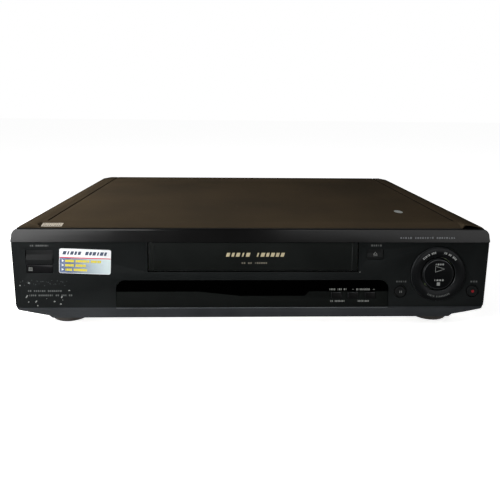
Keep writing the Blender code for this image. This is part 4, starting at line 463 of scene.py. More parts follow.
def sticker_panel(name, left, right):
    """Printed fade from the left to the right of the sticker."""
    look = Look(name, left, 0.32, specular=0.15)
    reach = STICKER_WIDTH / 2
    fade = look.ramp(look.axis("X"), STICKER_X - 0.6 * reach, STICKER_X + reach, 0.0, 1.0)
    cloud = look.ramp(look.noise(300.0, 3.0), 0.3, 0.7, 0.0, 0.08)
    look.tint(look.mix(cloud, look.mix(fade, left, right), right))
    look.gloss(look.ramp(look.noise(500.0, 2.0), 0.3, 0.7, 0.26, 0.4))
    return look.material


def add_mesh(name, bm, material, body, smooth=False):
    """A new piece from a bmesh, riding on a body."""
    bmesh.ops.recalc_face_normals(bm, faces=bm.faces)
    mesh = bpy.data.meshes.new(name)
    bm.to_mesh(mesh)
    bm.free()
    obj = bpy.data.objects.new(name, mesh)
    bpy.context.collection.objects.link(obj)
    mesh.materials.append(material)
    if smooth:
        mesh.shade_smooth()
        mesh.set_sharp_from_angle(angle=SMOOTH_WITHIN)
    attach(obj, body)


def soften(obj, width, segments=2, edge_slot=-1):
    """Round the edges of a piece, in a material of their own where edge_slot gives one."""
    obj.data.shade_smooth()
    edge = obj.modifiers.new("rounded_edges", "BEVEL")
    edge.width = width
    edge.segments = segments
    edge.limit_method = "ANGLE"
    edge.angle_limit = ROUNDED_FROM
    edge.harden_normals = True
    edge.miter_outer = "MITER_ARC"
    edge.material = edge_slot


def skin(node, materials, width=0.3 * MM, segments=2, choose=None, reshape=None, edge_slot=-1,
         flat_look=None, unmerged=None):
    """The node's own shape with its flat faces merged and its edges rounded, standing for the node.

    choose gives a face its material, reshape edits the shape first, flat_look names faces without
    smooth shading, and unmerged names faces that stay as they are.
    """
    bm = bmesh.new()
    bm.from_mesh(NODES[node].data)
    bmesh.ops.remove_doubles(bm, verts=bm.verts, dist=WELD)
    if reshape:
        reshape(bm)
    kept = {face for face in bm.faces if unmerged and unmerged(face)}
    edges = [e for e in bm.edges if not kept.issuperset(e.link_faces)]
    verts = [v for v in bm.verts if kept.isdisjoint(v.link_faces)]
    bmesh.ops.dissolve_limit(bm, angle_limit=FLAT_WITHIN, verts=verts, edges=edges)
    mesh = bpy.data.meshes.new(node + "_skin")
    bm.to_mesh(mesh)
    bm.free()
    for material in materials:
        mesh.materials.append(material)
    if choose:
        for face in mesh.polygons:
            face.material_index = choose(face)
    flat = [face.index for face in mesh.polygons if flat_look and flat_look(face)]
    obj = bpy.data.objects.new(node + "_skin", mesh)
    bpy.context.collection.objects.link(obj)
    soften(obj, width, segments, edge_slot=edge_slot)
    for index in flat:
        mesh.polygons[index].use_smooth = False
    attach(obj, BODY_OF[node])
    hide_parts(node)


def dress(node, material):
    """Give a CAD node a better material."""
    mesh = NODES[node].data
    mesh.materials.clear()
    mesh.materials.append(material)


def front_of(node):
    """The place of a node's surface at (x, z), seen from the front."""
    mesh = NODES[node].data
    tree = BVHTree.FromPolygons([v.co for v in mesh.vertices], [list(p.vertices) for p in mesh.polygons])

    def y_at(x, z):
        return tree.ray_cast(Vector((x, -1, z)), Vector((0, 1, 0)))[0].y

    return y_at


def slab(bm, front, back):
    """Close two like rings of corners into a thin solid."""
    bm.faces.new(front)
    bm.faces.new(back[::-1])
    for i in range(len(front)):
        j = (i + 1) % len(front)
        bm.faces.new((front[j], front[i], back[i], back[j]))


def plate(bm, outline, y_at, thick=PRINT_THICK):
    """A thin closed plate with an (x, z) outline, lying on the surface that y_at gives."""
    front = [bm.verts.new((x, y_at(x, z) - thick, z)) for x, z in outline]
    back = [bm.verts.new((x, y_at(x, z) + PRINT_SINK, z)) for x, z in outline]
    slab(bm, front, back)


def bar(x, z, width, height, turn=0.0):
    """Outline of a turned rectangle."""
    c, s = math.cos(turn), math.sin(turn)
    places = [(a * width / 2, b * height / 2) for a, b in SQUARE]
    return [(x + c * a - s * b, z + s * a + c * b) for a, b in places]


def rounded_bar(width, height, radius, steps=5):
    """Outline of a bar with round corners about the origin."""
    points = []
    for cx, cz, start in ((1, -1, -90), (1, 1, 0), (-1, 1, 90), (-1, -1, 180)):
        for i in range(steps + 1):
            t = (start + 90 * i / steps) * DEG
            x = cx * (width / 2 - radius) + radius * math.cos(t)
            points.append((x, cz * (height / 2 - radius) + radius * math.sin(t)))
    return points


def disc(x, z, radius, steps=24):
    """Outline of a round plate."""
    angles = [2 * math.pi * i / steps for i in range(steps)]
    return [(x + radius * math.cos(t), z + radius * math.sin(t)) for t in angles]


def stroke(bm, start, end, y_at, width=STROKE):
    """A straight printed line."""
    (x0, z0), (x1, z1) = start, end
    length = math.hypot(x1 - x0, z1 - z0) + width
    plate(bm, bar((x0 + x1) / 2, (z0 + z1) / 2, length, width, math.atan2(z1 - z0, x1 - x0)), y_at)


def outline_strokes(bm, points, y_at, width=STROKE):
    """A closed printed outline."""
    for start, end in zip(points, points[1:] + points[:1]):
        stroke(bm, start, end, y_at, width)


def line(start, end):
    """A straight path as a function of its share from 0 to 1: place and direction."""
    (x0, z0), (x1, z1) = start, end
    turn = math.atan2(z1 - z0, x1 - x0)
    return lambda share: (x0 + (x1 - x0) * share, z0 + (z1 - z0) * share, turn)


def sweep(centre, radius, start, end):
    """A path round a centre, from one angle to another in degrees, with letters upright outwards."""
    way = 1 if end > start else -1

    def place(share):
        t = (start + (end - start) * share) * DEG
        return centre[0] + radius * math.cos(t), centre[1] + radius * math.sin(t), t + way * math.pi / 2

    return place


def letter_slots(words):
    """The slot of each letter in a row of words, and its word's length, with a free slot between words."""
    slot = 0
    for letters in words:
        for _ in range(letters):
            yield slot, letters
            slot += 1
        slot += 1


def dashes(bm, path, length, height, words, y_at, slant=0.0):
    """A row of small blocks in place of lettering, grouped like words of so many letters."""
    slots = sum(words) + len(words) - 1
    pitch = length / slots
    for slot, letters in letter_slots(words):
        x, z, turn = path((slot + 0.5) / slots)
        share = LETTER_SHARES[(slot * 5 + letters) % len(LETTER_SHARES)]
        block = bar(x, z, pitch * share, height, turn)
        plate(bm, [(a + slant * (b - z), b) for a, b in block], y_at)


def captions(bm, rows, y_at, slant=0.0):
    """Straight rows of small blocks, from a table in millimetres."""
    for start, end, z, height, words in rows:
        path = line((start * MM, z * MM), (end * MM, z * MM))
        dashes(bm, path, end * MM - start * MM, height * MM, words, y_at, slant)


def chip(bm, x, z, size, turn, stretch, y_at):
    """A small ragged mark where the finish is chipped."""
    outline = []
    c, s = math.cos(turn), math.sin(turn)
    for i in range(CHIP_CORNERS):
        t = 2 * math.pi * i / CHIP_CORNERS
        r = size * (1 + 0.28 * math.sin(3.1 * i + x / MM) + 0.18 * math.cos(5.3 * i + z / MM))
        a, b = stretch * r * math.cos(t), r * math.sin(t)
        outline.append((x + a * c - b * s, z + a * s + b * c))
    plate(bm, outline, y_at)


def lathe(bm, profile, centre, axis, steps=24):
    """A solid turned about an axis direction, from (radius, distance along the axis) points."""
    along = Vector(axis)
    side = along.orthogonal().normalized()
    up = along.cross(side)
    rings = []
    for radius, distance in profile:
        base = Vector(centre) + along * distance
        if radius == 0:
            rings.append([bm.verts.new(base)])
            continue
        angles = [2 * math.pi * i / steps for i in range(steps)]
        places = [base + radius * (math.cos(t) * side + math.sin(t) * up) for t in angles]
        rings.append([bm.verts.new(place) for place in places])
    for near, far in zip(rings, rings[1:]):
        for i in range(steps):
            j = (i + 1) % steps
            corners = [near[i % len(near)], near[j % len(near)], far[j % len(far)], far[i % len(far)]]
            unique = list(dict.fromkeys(corners))
            if len(unique) > 2:
                bm.faces.new(unique)


def make_materials():
    """Every finish of the part, by the name that the pieces ask for."""
    return {
        "field": moulded("black_field_plastic", srgb(25, 27, 27), 0.5, strength=0.3, specular=0.002),
        "band": moulded("black_band_plastic", srgb(6, 6, 6), 0.16, strength=0.0, specular=0.03),
        # Same black plastic as the field, painted lighter as a reflection of the surface below
        "strip_painted_reflection": moulded("black_strip_painted_reflection_plastic", srgb(53, 55, 57), 0.45, strength=0.15, specular=0.002),
        # Pale colour painted on the strip's upward-facing ledge as a highlight
        "ledge": moulded("bright_ledge_plastic", srgb(112, 116, 118), 0.4, strength=0.0, specular=0.02),
        # Near-black painted shade for the panel's recesses and the underside of the brow
        "recess_painted_shade": moulded("dark_recess_painted_shade_plastic", srgb(6, 7, 7), 0.6, strength=0.1, specular=0.0),
        "key": moulded("black_key_plastic", srgb(24, 25, 25), 0.4, strength=0.15, specular=0.004),
        "small_key": moulded("black_small_key_plastic", srgb(10, 10, 10), 0.4, strength=0.1, specular=0.01),
        # Lighter colour painted on rounded edges as a highlight, with a glossier finish
        "edge": moulded("glossy_edge_painted_highlight_plastic", srgb(44, 46, 47), 0.25, strength=0.0, specular=0.035),
        "ring": moulded("black_ring_plastic", srgb(14, 15, 16), 0.3, strength=0.05, specular=0.01),
        "rocker": moulded("black_rocker_plastic", srgb(12, 13, 14), 0.35, strength=0.1, specular=0.004),
        "door": moulded("black_door_plastic", srgb(22, 24, 23), 0.45, strength=0.2, specular=0.002),
        "sensor": moulded("black_sensor_plastic", srgb(17, 17, 18), 0.2, strength=0.0, specular=0.01),
        "window": window_plastic("black_window_plastic", srgb(1, 1, 1), srgb(22, 24, 23)),
        "socket": moulded("black_socket_plastic", srgb(24, 24, 25), 0.45, strength=0.2, specular=0.2),
        # Brown is partly the paint's own dark warm tone and partly a painted reflection of warm surroundings;
        # the paint itself reflects nothing
        "cover": painted_sheet("brown_satin_paint_and_painted_reflection", srgb(58, 51, 41), 0.45, 0.0),
        # Darker brown painted on the crease slopes as shade
        "crease": painted_sheet("painted_shade_brown_paint", srgb(26, 23, 19), 0.5, 0.0),
        "rubber": rubber("dark_foot_rubber", srgb(44, 39, 35)),
        "roller": rubber("black_roller_rubber", srgb(22, 22, 22)),
        "zinc": metal("zinc_plated_steel", srgb(186, 186, 182), 0.34),
        "cast": metal("cast_aluminium", srgb(205, 205, 203), 0.36, (400, 400, 400)),
        "polished": metal("polished_drum_metal", srgb(222, 222, 222), 0.16, (200, 200, 6000), 0.05),
        "board": circuit_board("brown_circuit_board", srgb(130, 96, 52), srgb(86, 104, 58)),
        "white": moulded("white_reel_plastic", srgb(222, 220, 212), 0.42, strength=0.1),
        "copper": metal("taped_copper_winding", srgb(188, 118, 66), 0.4, (60, 60, 2200), 0.3),
        "glass": moulded("dark_display_glass", srgb(12, 22, 22), 0.06, strength=0.0),
        "caption": flat_ink("dim_caption_ink", srgb(84, 86, 85)),
        "band_print": flat_ink("band_caption_ink", srgb(104, 106, 108)),
        "ring_print": flat_ink("ring_caption_ink", srgb(158, 160, 158)),
        "rocker_print": flat_ink("rocker_symbol_ink", srgb(150, 153, 150)),
        "window_print": flat_ink("window_caption_ink", srgb(132, 134, 130)),
        "door_print": flat_ink("cream_door_ink", srgb(196, 184, 150)),
        "small_door_print": flat_ink("dim_cream_door_ink", srgb(112, 108, 96)),
        "key_print": flat_ink("key_symbol_ink", srgb(128, 130, 127)),
        "faint_print": flat_ink("faint_grey_ink", srgb(52, 55, 55)),
        "red_ink": flat_ink("red_ink", srgb(146, 24, 34)),
        "chipped": flat_ink("chipped_finish", srgb(148, 150, 147), 0.8),
        # Near-black ink painted as the shade inside the screws' cross recesses
        "dark": flat_ink("cross_painted_shade_ink", srgb(6, 6, 6), 0.8),
        "screw": metal("black_oxide_screw", srgb(70, 70, 70), 0.38, (300, 300, 300)),
        "paper": moulded("white_sticker_film", srgb(228, 230, 232), 0.35, strength=0.0, specular=0.05),
        "fade": sticker_panel("blue_fade_film", srgb(46, 64, 100), srgb(190, 205, 205)),
        "rule": flat_ink("red_rule_ink", srgb(205, 60, 84), 0.35),
        "slate": flat_ink("slate_ink", srgb(70, 78, 98), 0.35),
        "yellow": flat_ink("yellow_ink", srgb(216, 200, 58), 0.35),
        "silver": moulded("silver_label_film", srgb(158, 150, 136), 0.3, strength=0.0, specular=0.05),
        "label_ink": flat_ink("brown_label_ink", srgb(78, 70, 60)),
    }


def dress_panel(looks):
    """Front panel: field, glossy brow band, lower strip painted lighter as a reflection, a painted highlight
    on its ledge, and painted shade in the recesses and under the brow.
    """

    def zone(face):
        x, y, z = face.center
        # Recess faces behind the field and the brow's underside get the painted shade
        if y >= FIELD_Y + ZONE_SLACK and abs(x) < PAINTED_SHADE_REACH and PAINTED_SHADE_LOW_Z < z < BAND_BOTTOM_Z:
            return PAINTED_SHADE
        if z > BAND_BOTTOM_Z - ZONE_SLACK and y < FIELD_Y - ZONE_SLACK:
            return BAND if z > BAND_BOTTOM_Z + ZONE_SLACK else PAINTED_SHADE
        # The strip's upward-facing top takes the painted highlight
        if abs(z - STRIP_TOP_Z) < ZONE_SLACK and face.normal.z > FACES_UP:
            return LEDGE_HIGHLIGHT
        # The lower strip's front takes the lighter colour painted as a reflection
        return STRIP if z < STRIP_TOP_Z and y < FIELD_Y - ZONE_SLACK else FIELD

    materials = [looks[name] for name in ("field", "band", "strip_painted_reflection", "ledge", "recess_painted_shade")]
    skin("front_panel", materials, 0.25 * MM, 2, zone, flat_look=lambda face: face.material_index == BAND)


def dress_controls(looks):
    """Door, keys, ring, rocker and the two windows."""
    # Door, small keys, ring and rocker take the painted highlight colour on their rounded edges
    skin("cassette_door", [looks["door"], looks["edge"]], 0.3 * MM, reshape=shrink_door, edge_slot=1)
    for node in ("power_button", "eject_button"):
        skin(node, [looks["key"]], 0.25 * MM)
    for node in ("pause_button", "record_button"):
        skin(node, [looks["key"]], 0.3 * MM, reshape=shrink_round_key)
    for node in ("setup_button", "program_down_button", "program_up_button"):
        skin(node, [looks["small_key"], looks["edge"]], 0.2 * MM, edge_slot=1)
    skin("shuttle_ring", [looks["ring"], looks["edge"]], 0.4 * MM, 3, edge_slot=1)
    skin("play_stop_rocker", [looks["rocker"], looks["edge"]], 0.3 * MM, 3, edge_slot=1)
    skin("sensor_window", [looks["sensor"]], 0.2 * MM)
    skin("display_window", [looks["window"]], 0.25 * MM)


def dress_housing(looks):
    """Cover, feet, tray and rear panel."""
    skin("top_cover", [looks["cover"], looks["crease"]], 0.25 * MM, 2, crease_zone, trim_cover,
         unmerged=lambda face: abs(face.normal.x) > SIDE_WALL)
    for node in ("front_left_foot", "front_right_foot", "rear_left_foot", "rear_right_foot"):
        skin(node, [looks["rubber"]], 0.3 * MM)
    dress("chassis_tray", looks["zinc"])
    dress("rear_panel", looks["zinc"])


def dress_inside(looks):
    """Boards, sockets and mechanism."""
    groups = {
        "board": ("display_board", "power_key_board", "control_key_board", "main_board", "power_board",
                  "capstan_motor_stator"),
        "glass": ("display_tube",),
        "copper": ("power_transformer",),
        "socket": ("mains_capacitor", "erase_head", "scart_socket_left", "scart_socket_right",
                   "audio_sockets", "mains_inlet"),
        "cast": ("heat_sink", "lower_drum", "supply_loading_guide", "takeup_loading_guide"),
        "zinc": ("aerial_tuner", "deck_plate", "pinch_roller_arm", "audio_control_head", "loading_motor",
                 "left_lift_bracket", "right_lift_bracket", "cassette_carriage", "cassette_holder"),
        "polished": ("upper_drum", "capstan"),
        "white": ("supply_reel_table", "takeup_reel_table"),
        "roller": ("pinch_roller",),
    }
    for look, nodes in groups.items():
        for node in nodes:
            dress(node, looks[look])


def print_panel(looks):
    """Captions and marks on the field and on the keys, as plain blocks and generic symbols."""
    field = front_of("front_panel")
    bm = bmesh.new()
    captions(bm, FIELD_ROWS, field)
    add_mesh("field_captions", bm, looks["caption"], "chassis")

    bm = bmesh.new()
    captions(bm, BAND_ROWS, field)
    add_mesh("band_captions", bm, looks["band_print"], "chassis")

    bm = bmesh.new()
    key = front_of("pause_button")
    for side in (-1, 1):
        plate(bm, bar(PAUSE_X + side * PAUSE_SPREAD, PAUSE_Z, *PAUSE_BAR), key)
    add_mesh("pause_symbol", bm, looks["key_print"], BODY_OF["pause_button"])

    bm = bmesh.new()
    plate(bm, disc(*RECORD_DOT), front_of("record_button"))
    add_mesh("record_symbol", bm, looks["red_ink"], BODY_OF["record_button"])

    bm = bmesh.new()
    key = front_of("eject_button")
    left, right = EJECT_X - EJECT_HALF, EJECT_X + EJECT_HALF
    base = EJECT_Z - EJECT_BASE
    outline_strokes(bm, [(left, base), (right, base), (EJECT_X, EJECT_Z + EJECT_TOP)], key)
    stroke(bm, (left, EJECT_Z - EJECT_LINE), (right, EJECT_Z - EJECT_LINE), key)
    add_mesh("eject_symbol", bm, looks["key_print"], BODY_OF["eject_button"])

    bm = bmesh.new()
    sensor = front_of("sensor_window")
    outline_strokes(bm, bar(SENSOR_X, SENSOR_Z, SENSOR_SIDE, SENSOR_SIDE), sensor, SENSOR_OUTLINE)
    left, right = SENSOR_LINE_X
    for step in (-1, 0, 1):
        z = SENSOR_Z + step * SENSOR_LINE_PITCH
        stroke(bm, (left, z), (right, z), sensor, SENSOR_LINE)
    add_mesh("sensor_symbol", bm, looks["key_print"], "chassis")


def print_ring(looks):
    """Blocks round the ring, and play and stop symbols with their captions on the rocker."""
    centre = (RING_X, RING_Z)
    ring = front_of("shuttle_ring")
    upper = ("ring_captions", "ring_print", RING_LETTER, RING_ROWS)
    lower = ("ring_lower_captions", "caption", LOWER_RING_LETTER, (LOWER_RING_ROW,))
    for name, look, height, rows in (upper, lower):
        bm = bmesh.new()
        for start, end, words in rows:
            length = abs(end - start) * DEG * RING_PRINT_RADIUS
            dashes(bm, sweep(centre, RING_PRINT_RADIUS, start, end), length, height, words, ring)
        add_mesh(name, bm, looks[look], BODY_OF["shuttle_ring"])

    rocker = front_of("play_stop_rocker")
    bm = bmesh.new()
    captions(bm, ROCKER_ROWS, rocker)
    outline_strokes(bm, list(PLAY_MARK), rocker)
    plate(bm, bar(*STOP_MARK), rocker)
    add_mesh("rocker_symbols", bm, looks["rocker_print"], BODY_OF["play_stop_rocker"])


def print_window(looks):
    """Captions above and below the three small keys, with a minus and a plus."""
    window = front_of("display_window")
    bm = bmesh.new()
    captions(bm, WINDOW_ROWS, window)
    for (x0, z0), (x1, z1) in WINDOW_SIGNS:
        stroke(bm, (x0 * MM, z0 * MM), (x1 * MM, z1 * MM), window)
    add_mesh("window_captions", bm, looks["window_print"], "chassis")


def make_window_highlight_line(looks):
    """Thin painted highlight where the lower strip meets the window."""
    bm = bmesh.new()
    middle = (WINDOW_LOW.x + WINDOW_HIGH.x) / 2
    edge = bar(middle, STRIP_TOP_Z - WINDOW_HIGHLIGHT_LINE, WINDOW_HIGH.x - WINDOW_LOW.x, WINDOW_HIGHLIGHT_LINE)
    plate(bm, edge, front_of("front_panel"))
    add_mesh("window_lower_painted_highlight", bm, looks["ledge"], "chassis")


def print_door(looks):
    """Plain rows of slanted blocks in the middle of the cassette door."""
    door = front_of("cassette_door")
    bm = bmesh.new()
    captions(bm, DOOR_ROWS, door, DOOR_SLANT)
    add_mesh("door_captions", bm, looks["door_print"], BODY_OF["cassette_door"])
    bm = bmesh.new()
    captions(bm, SMALL_DOOR_ROWS, door)
    add_mesh("small_door_captions", bm, looks["small_door_print"], BODY_OF["cassette_door"])


def make_sticker(looks):
    """Printed sticker at the left: white head, red rule, fading panel with three bullets and rows."""
    turn = Matrix.Rotation(STICKER_TURN, 2)
    field = front_of("front_panel")(STICKER_X, STICKER_Z)

    def on_sticker(x, z):
        place = turn @ Vector((x, z))
        return STICKER_X + place.x, STICKER_Z + place.y

    def lay(name, outlines, look, level):
        bm = bmesh.new()
        for outline in outlines:
            face = [on_sticker(x, z) for x, z in outline]
            plate(bm, face, lambda x, z: field - level * PRINT_THICK, STICKER_THICK)
        add_mesh(name, bm, looks[look], "chassis")

    left = -STICKER_WIDTH / 2
    low = -STICKER_HEIGHT / 2
    rule_z = STICKER_HEIGHT / 2 - STICKER_HEAD
    panel_height = rule_z - low
    inner_width = STICKER_WIDTH - 2 * STICKER_TRIM
    lay("sticker_film", [rounded_bar(STICKER_WIDTH, STICKER_HEIGHT, STICKER_CORNER)], "paper", 0)
    whole = rounded_bar(inner_width, STICKER_HEIGHT - 2 * STICKER_TRIM, STICKER_CORNER - STICKER_TRIM)
    lay("sticker_fade", [[(x, min(z, rule_z)) for x, z in whole]], "fade", 1)
    lay("sticker_rule", [bar(0, rule_z, inner_width, RULE_HEIGHT)], "rule", 2)

    bullets = []
    rows = []
    near, far = left + BULLET_LEFT, left + BULLET_RIGHT
    for level, words in zip(ROW_LEVELS, ROW_WORDS):
        z = rule_z - panel_height * level
        bullets.append([(near, z - BULLET_HALF), (far, z), (near, z + BULLET_HALF)])
        for slot, letters in letter_slots(words):
            share = LETTER_SHARES[(slot * 3 + letters) % len(LETTER_SHARES)] + ROW_FULLER
            rows.append(bar(left + ROW_LEFT + ROW_PITCH * (slot + 0.5), z, ROW_PITCH * share, ROW_HEIGHT))
    lay("sticker_bullets", bullets, "paper", 2)
    lay("sticker_rows", rows, "yellow", 2)

    head = []
    middle = STICKER_HEIGHT / 2 - STICKER_HEAD / 2 + HEAD_RISE
    for slot, _ in letter_slots(HEAD_WORDS):
        x = left + HEAD_LEFT + HEAD_PITCH * (slot + 0.5)
        half = HEAD_PITCH * (LETTER_SHARES[(slot * 3 + 1) % len(LETTER_SHARES)] + HEAD_FULLER) / 2
        head.append([(x + a * half + b * HEAD_SLANT, middle + b * HEAD_HALF) for a, b in SQUARE])
    lay("sticker_head", head, "slate", 2)


def make_wear(looks):
    """Chips and faint rubbed marks at the lower left of the field."""
    field = front_of("front_panel")
    bm = bmesh.new()
    for x, z, size, slant, stretch in CHIPS:
        chip(bm, x * MM, z * MM, size * MM, slant * DEG, stretch, field)
    add_mesh("field_chips", bm, looks["chipped"], "chassis")
    bm = bmesh.new()
    for i in range(RUB_COUNT):
        x = RUB_LEFT + i * RUB_PITCH * MM
        z = RUB_Z + 1.9 * MM * math.sin(2.3 * i) + 0.8 * MM * math.cos(5.1 * i)
        chip(bm, x, z, RUB_SIZE, 1.3 * i, 1.8 + math.sin(1.7 * i), field)
    add_mesh("field_rubbed_marks", bm, looks["faint_print"], "chassis")


def make_cover_marks(looks):
    """Small label on the cover's front strip, and a pale dot on top."""
    mesh = NODES["top_cover"].data
    tree = BVHTree.FromPolygons([v.co for v in mesh.vertices], [list(p.vertices) for p in mesh.polygons])

    def lay(name, outlines, look, thick):
        bm = bmesh.new()
        for outline in outlines:
            tops = [tree.ray_cast(Vector((x, y, 1)), Vector((0, 0, -1)))[0].z for x, y in outline]
            upper = [bm.verts.new((x, y, z + thick)) for (x, y), z in zip(outline, tops)]
            lower = [bm.verts.new((x, y, z - PRINT_SINK)) for (x, y), z in zip(outline, tops)]
            slab(bm, upper, lower)
        add_mesh(name, bm, looks[look], "chassis")

    lay("cover_label", [bar(*LABEL)], "silver", PRINT_THICK)
    blocks = []
    for row, y in enumerate(LABEL_ROWS_Y):
        for i in range(LABEL_LETTERS):
            share = LETTER_SHARES[(3 * i + row) % len(LETTER_SHARES)]
            blocks.append(bar(LABEL_LEFT + LABEL_PITCH * i, y, LABEL_PITCH * share, LABEL_LETTER))
    lay("cover_label_blocks", blocks, "label_ink", 2 * PRINT_THICK)
    spot = [(x, DOT_Y + DOT_STRETCH * (y - DOT_Y)) for x, y in disc(DOT_X, DOT_Y, DOT_RADIUS)]
    lay("cover_pale_dot", [spot], "chipped", PRINT_THICK)


def shrink_door(bm):
    """Leave the door a slightly wider gap at its ends and below."""
    low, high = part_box("cassette_door")
    for v in bm.verts:
        v.co.x *= 1 - DOOR_EASE / high.x
        if v.co.z < (low.z + high.z) / 2:
            v.co.z += DOOR_EASE


def shrink_round_key(bm):
    """Leave the round keys a slightly wider gap."""
    middle = sum((v.co for v in bm.verts), Vector()) / len(bm.verts)
    for v in bm.verts:
        v.co.x = middle.x + (v.co.x - middle.x) * ROUND_KEY_SHARE
        v.co.z = middle.z + (v.co.z - middle.z) * ROUND_KEY_SHARE


def crease_zone(face):
    """Second material, darker paint standing for shade, on the slopes of the creases along the top."""
    x, y, z = face.center
    near = abs(abs(x) - CREASE_X) < CREASE_HALF
    return int(near and z > COVER_HIGH.z - CREASE_DEPTH and abs(face.normal.z) < CREASE_FLAT)


def trim_cover(bm):
    """Cut back the cover's lower front corners, and let its left border down onto the panel's lip."""
    front = COVER_LOW.y
    whole = bm.verts[:] + bm.edges[:] + bm.faces[:]
    cut = (0, front + CORNER_CUT, 0)
    bmesh.ops.bisect_plane(bm, geom=whole, dist=CUT_SLACK, plane_co=cut, plane_no=(0, 1, 0))
    for v in bm.verts:
        if v.co.z < COVER_LOW.z + CORNER_REACH and v.co.y < front + CORNER_REACH:
            v.co.z += CORNER_CUT * CORNER_LIFT_SHARE
        at_border = v.co.y < front + BORDER_REACH and v.co.x < -BORDER_INNER_X and v.co.z > BORDER_LOW_Z
        if at_border and v.normal.z < 0:
            v.co.z -= BORDER_DROP


def make_screws(looks):
    """Pan-head screws with dark painted crosses standing for the shade in their recesses: two on each side of
    the cover, and five on the rear panel.
    """
    places = []
    for side in (-1, 1):
        for y in SIDE_SCREWS_Y:
            places.append(((side * COVER_HIGH.x, y * MM, SIDE_SCREWS_Z * MM), (side, 0, 0)))
    places += [((x * MM, REAR_HIGH.y, z * MM), (0, 1, 0)) for x, z in REAR_SCREWS]
    heads = bmesh.new()
    crosses = bmesh.new()
    for place, axis in places:
        lathe(heads, [(r * MM, d * MM) for r, d in SCREW_HEAD], place, axis)
        along = Vector(axis)
        side = along.orthogonal().normalized()
        middle = Vector(place) + along * CROSS_LEVEL * MM
        for first in (side, along.cross(side)):
            second = along.cross(first)
            corners = [middle + a * CROSS_REACH * MM * first + b * CROSS_HALF * MM * second for a, b in SQUARE]
            top = [crosses.verts.new(c + along * CROSS_PROUD * MM) for c in corners]
            low = [crosses.verts.new(c - along * CROSS_SINK * MM) for c in corners]
            slab(crosses, top, low)
    add_mesh("cover_screws", heads, looks["screw"], "chassis", smooth=True)
    # The crosses are thin dark slabs painted as shade in place of cut recesses
    add_mesh("screw_cross_painted_shade", crosses, looks["dark"], "chassis")


def make_socket_trim(looks):
    """Coloured rings round the two audio sockets at the rear."""
    low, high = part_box("audio_sockets")
    middle = (low.x + high.x) / 2
    for name, side, look in AUDIO_RINGS:
        bm = bmesh.new()
        lathe(bm, AUDIO_PROFILE, (middle + side * AUDIO_SPREAD, high.y, AUDIO_Z), (0, 1, 0))
        add_mesh(name, bm, looks[look], "chassis", smooth=True)


def white_for_background(tree, strength):
    """A strength that holds for camera, glossy and transmission rays, and is zero for the others."""
    path = tree.nodes.new("ShaderNodeLightPath")
    first = tree.nodes.new("ShaderNodeMath")
    second = tree.nodes.new("ShaderNodeMath")
    scale = tree.nodes.new("ShaderNodeMath")
    first.operation = second.operation = "MAXIMUM"
    scale.operation = "MULTIPLY"
    scale.inputs[1].default_value = strength
    tree.links.new(path.outputs["Is Camera Ray"], first.inputs[0])
    tree.links.new(path.outputs["Is Glossy Ray"], first.inputs[1])
    tree.links.new(first.outputs[0], second.inputs[0])
    tree.links.new(path.outputs["Is Transmission Ray"], second.inputs[1])
    tree.links.new(second.outputs[0], scale.inputs[0])
    return scale.outputs[0]


def make_floor():
    """Pale floor that takes the part's shadow and is white where it is lit."""
    bm = bmesh.new()
    corners = [bm.verts.new((FLOOR_REACH * x, FLOOR_REACH * y, 0)) for x, y in SQUARE]
    bm.faces.new(corners)
    mesh = bpy.data.meshes.new("floor")
    bm.to_mesh(mesh)
    bm.free()
    floor = bpy.data.objects.new("floor", mesh)
    bpy.context.collection.objects.link(floor)
    material = bpy.data.materials.new("pale_floor")
    material.use_nodes = True
    tree = material.node_tree
    shader = tree.nodes["Principled BSDF"]
    shader.inputs["Base Color"].default_value = (0.9, 0.9, 0.9, 1)
    shader.inputs["Roughness"].default_value = 0.9
    shader.inputs["Specular IOR Level"].default_value = 0.0
    shader.inputs["Emission Color"].default_value = (1, 1, 1, 1)
    tree.links.new(white_for_background(tree, FLOOR_LIFT), shader.inputs["Emission Strength"])
    mesh.materials.append(material)


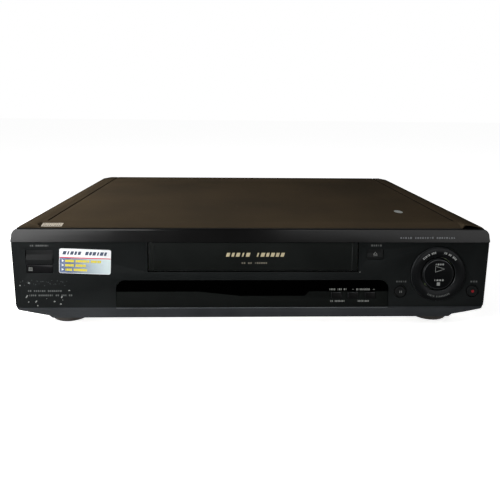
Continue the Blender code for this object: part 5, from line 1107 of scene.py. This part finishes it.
def make_world():
    """White where it is seen, and a plain soft grey as light."""
    world = bpy.data.worlds.new("studio")
    bpy.context.scene.world = world
    world.use_nodes = True
    tree = world.node_tree
    tree.nodes.clear()
    light = tree.nodes.new("ShaderNodeBackground")
    light.inputs["Color"].default_value = (1, 1, 1, 1)
    light.inputs["Strength"].default_value = WORLD_LIGHT
    white = tree.nodes.new("ShaderNodeBackground")
    white.inputs["Color"].default_value = (1, 1, 1, 1)
    white.inputs["Strength"].default_value = 1.0
    mix = tree.nodes.new("ShaderNodeMixShader")
    out = tree.nodes.new("ShaderNodeOutputWorld")
    tree.links.new(white_for_background(tree, 1.0), mix.inputs[0])
    tree.links.new(light.outputs[0], mix.inputs[1])
    tree.links.new(white.outputs[0], mix.inputs[2])
    tree.links.new(mix.outputs[0], out.inputs[0])


def make_light(name, place, target, size, power, roll, gloss_only):
    """A soft rectangle of light that no camera sees; a card is only seen by glossy surfaces."""
    lamp = bpy.data.lights.new(name, "AREA")
    lamp.shape = "RECTANGLE"
    lamp.size, lamp.size_y = size
    lamp.energy = power
    obj = bpy.data.objects.new(name, lamp)
    turn = (Vector(target) - Vector(place)).to_track_quat("-Z", "Y").to_matrix().to_4x4()
    obj.matrix_world = Matrix.Translation(place) @ turn @ Matrix.Rotation(roll, 4, "Z")
    obj.visible_camera = False
    obj.visible_diffuse = not gloss_only
    bpy.context.collection.objects.link(obj)


def make_camera():
    """Camera at the photograph's place: a slight turn, tip and roll, and a shift for its framing."""
    camera = bpy.data.cameras.new("photo_camera")
    camera.sensor_width = SENSOR
    camera.lens = SENSOR * FOCAL_PIXELS / PICTURE
    camera.shift_y = (CENTRE_ROW - PICTURE / 2) / PICTURE
    camera.clip_start = 0.02
    obj = bpy.data.objects.new("photo_camera", camera)
    yaw = Matrix.Rotation(-CAMERA_YAW, 4, "Z")
    pitch = Matrix.Rotation(math.pi / 2 - CAMERA_PITCH, 4, "X")
    roll = Matrix.Rotation(CAMERA_ROLL, 4, "Z")
    obj.matrix_world = Matrix.Translation(CAMERA_PLACE) @ (yaw @ pitch @ roll)
    bpy.context.collection.objects.link(obj)
    bpy.context.scene.camera = obj


make_camera()
looks = make_materials()
dress_panel(looks)
dress_controls(looks)
dress_housing(looks)
dress_inside(looks)
print_panel(looks)
print_ring(looks)
print_window(looks)
print_door(looks)
make_window_highlight_line(looks)
make_sticker(looks)
make_wear(looks)
make_cover_marks(looks)
make_screws(looks)
make_socket_trim(looks)
make_floor()
make_world()
for light in LIGHTS:
    make_light(*light)
bpy.context.scene.view_settings.view_transform = "Standard"
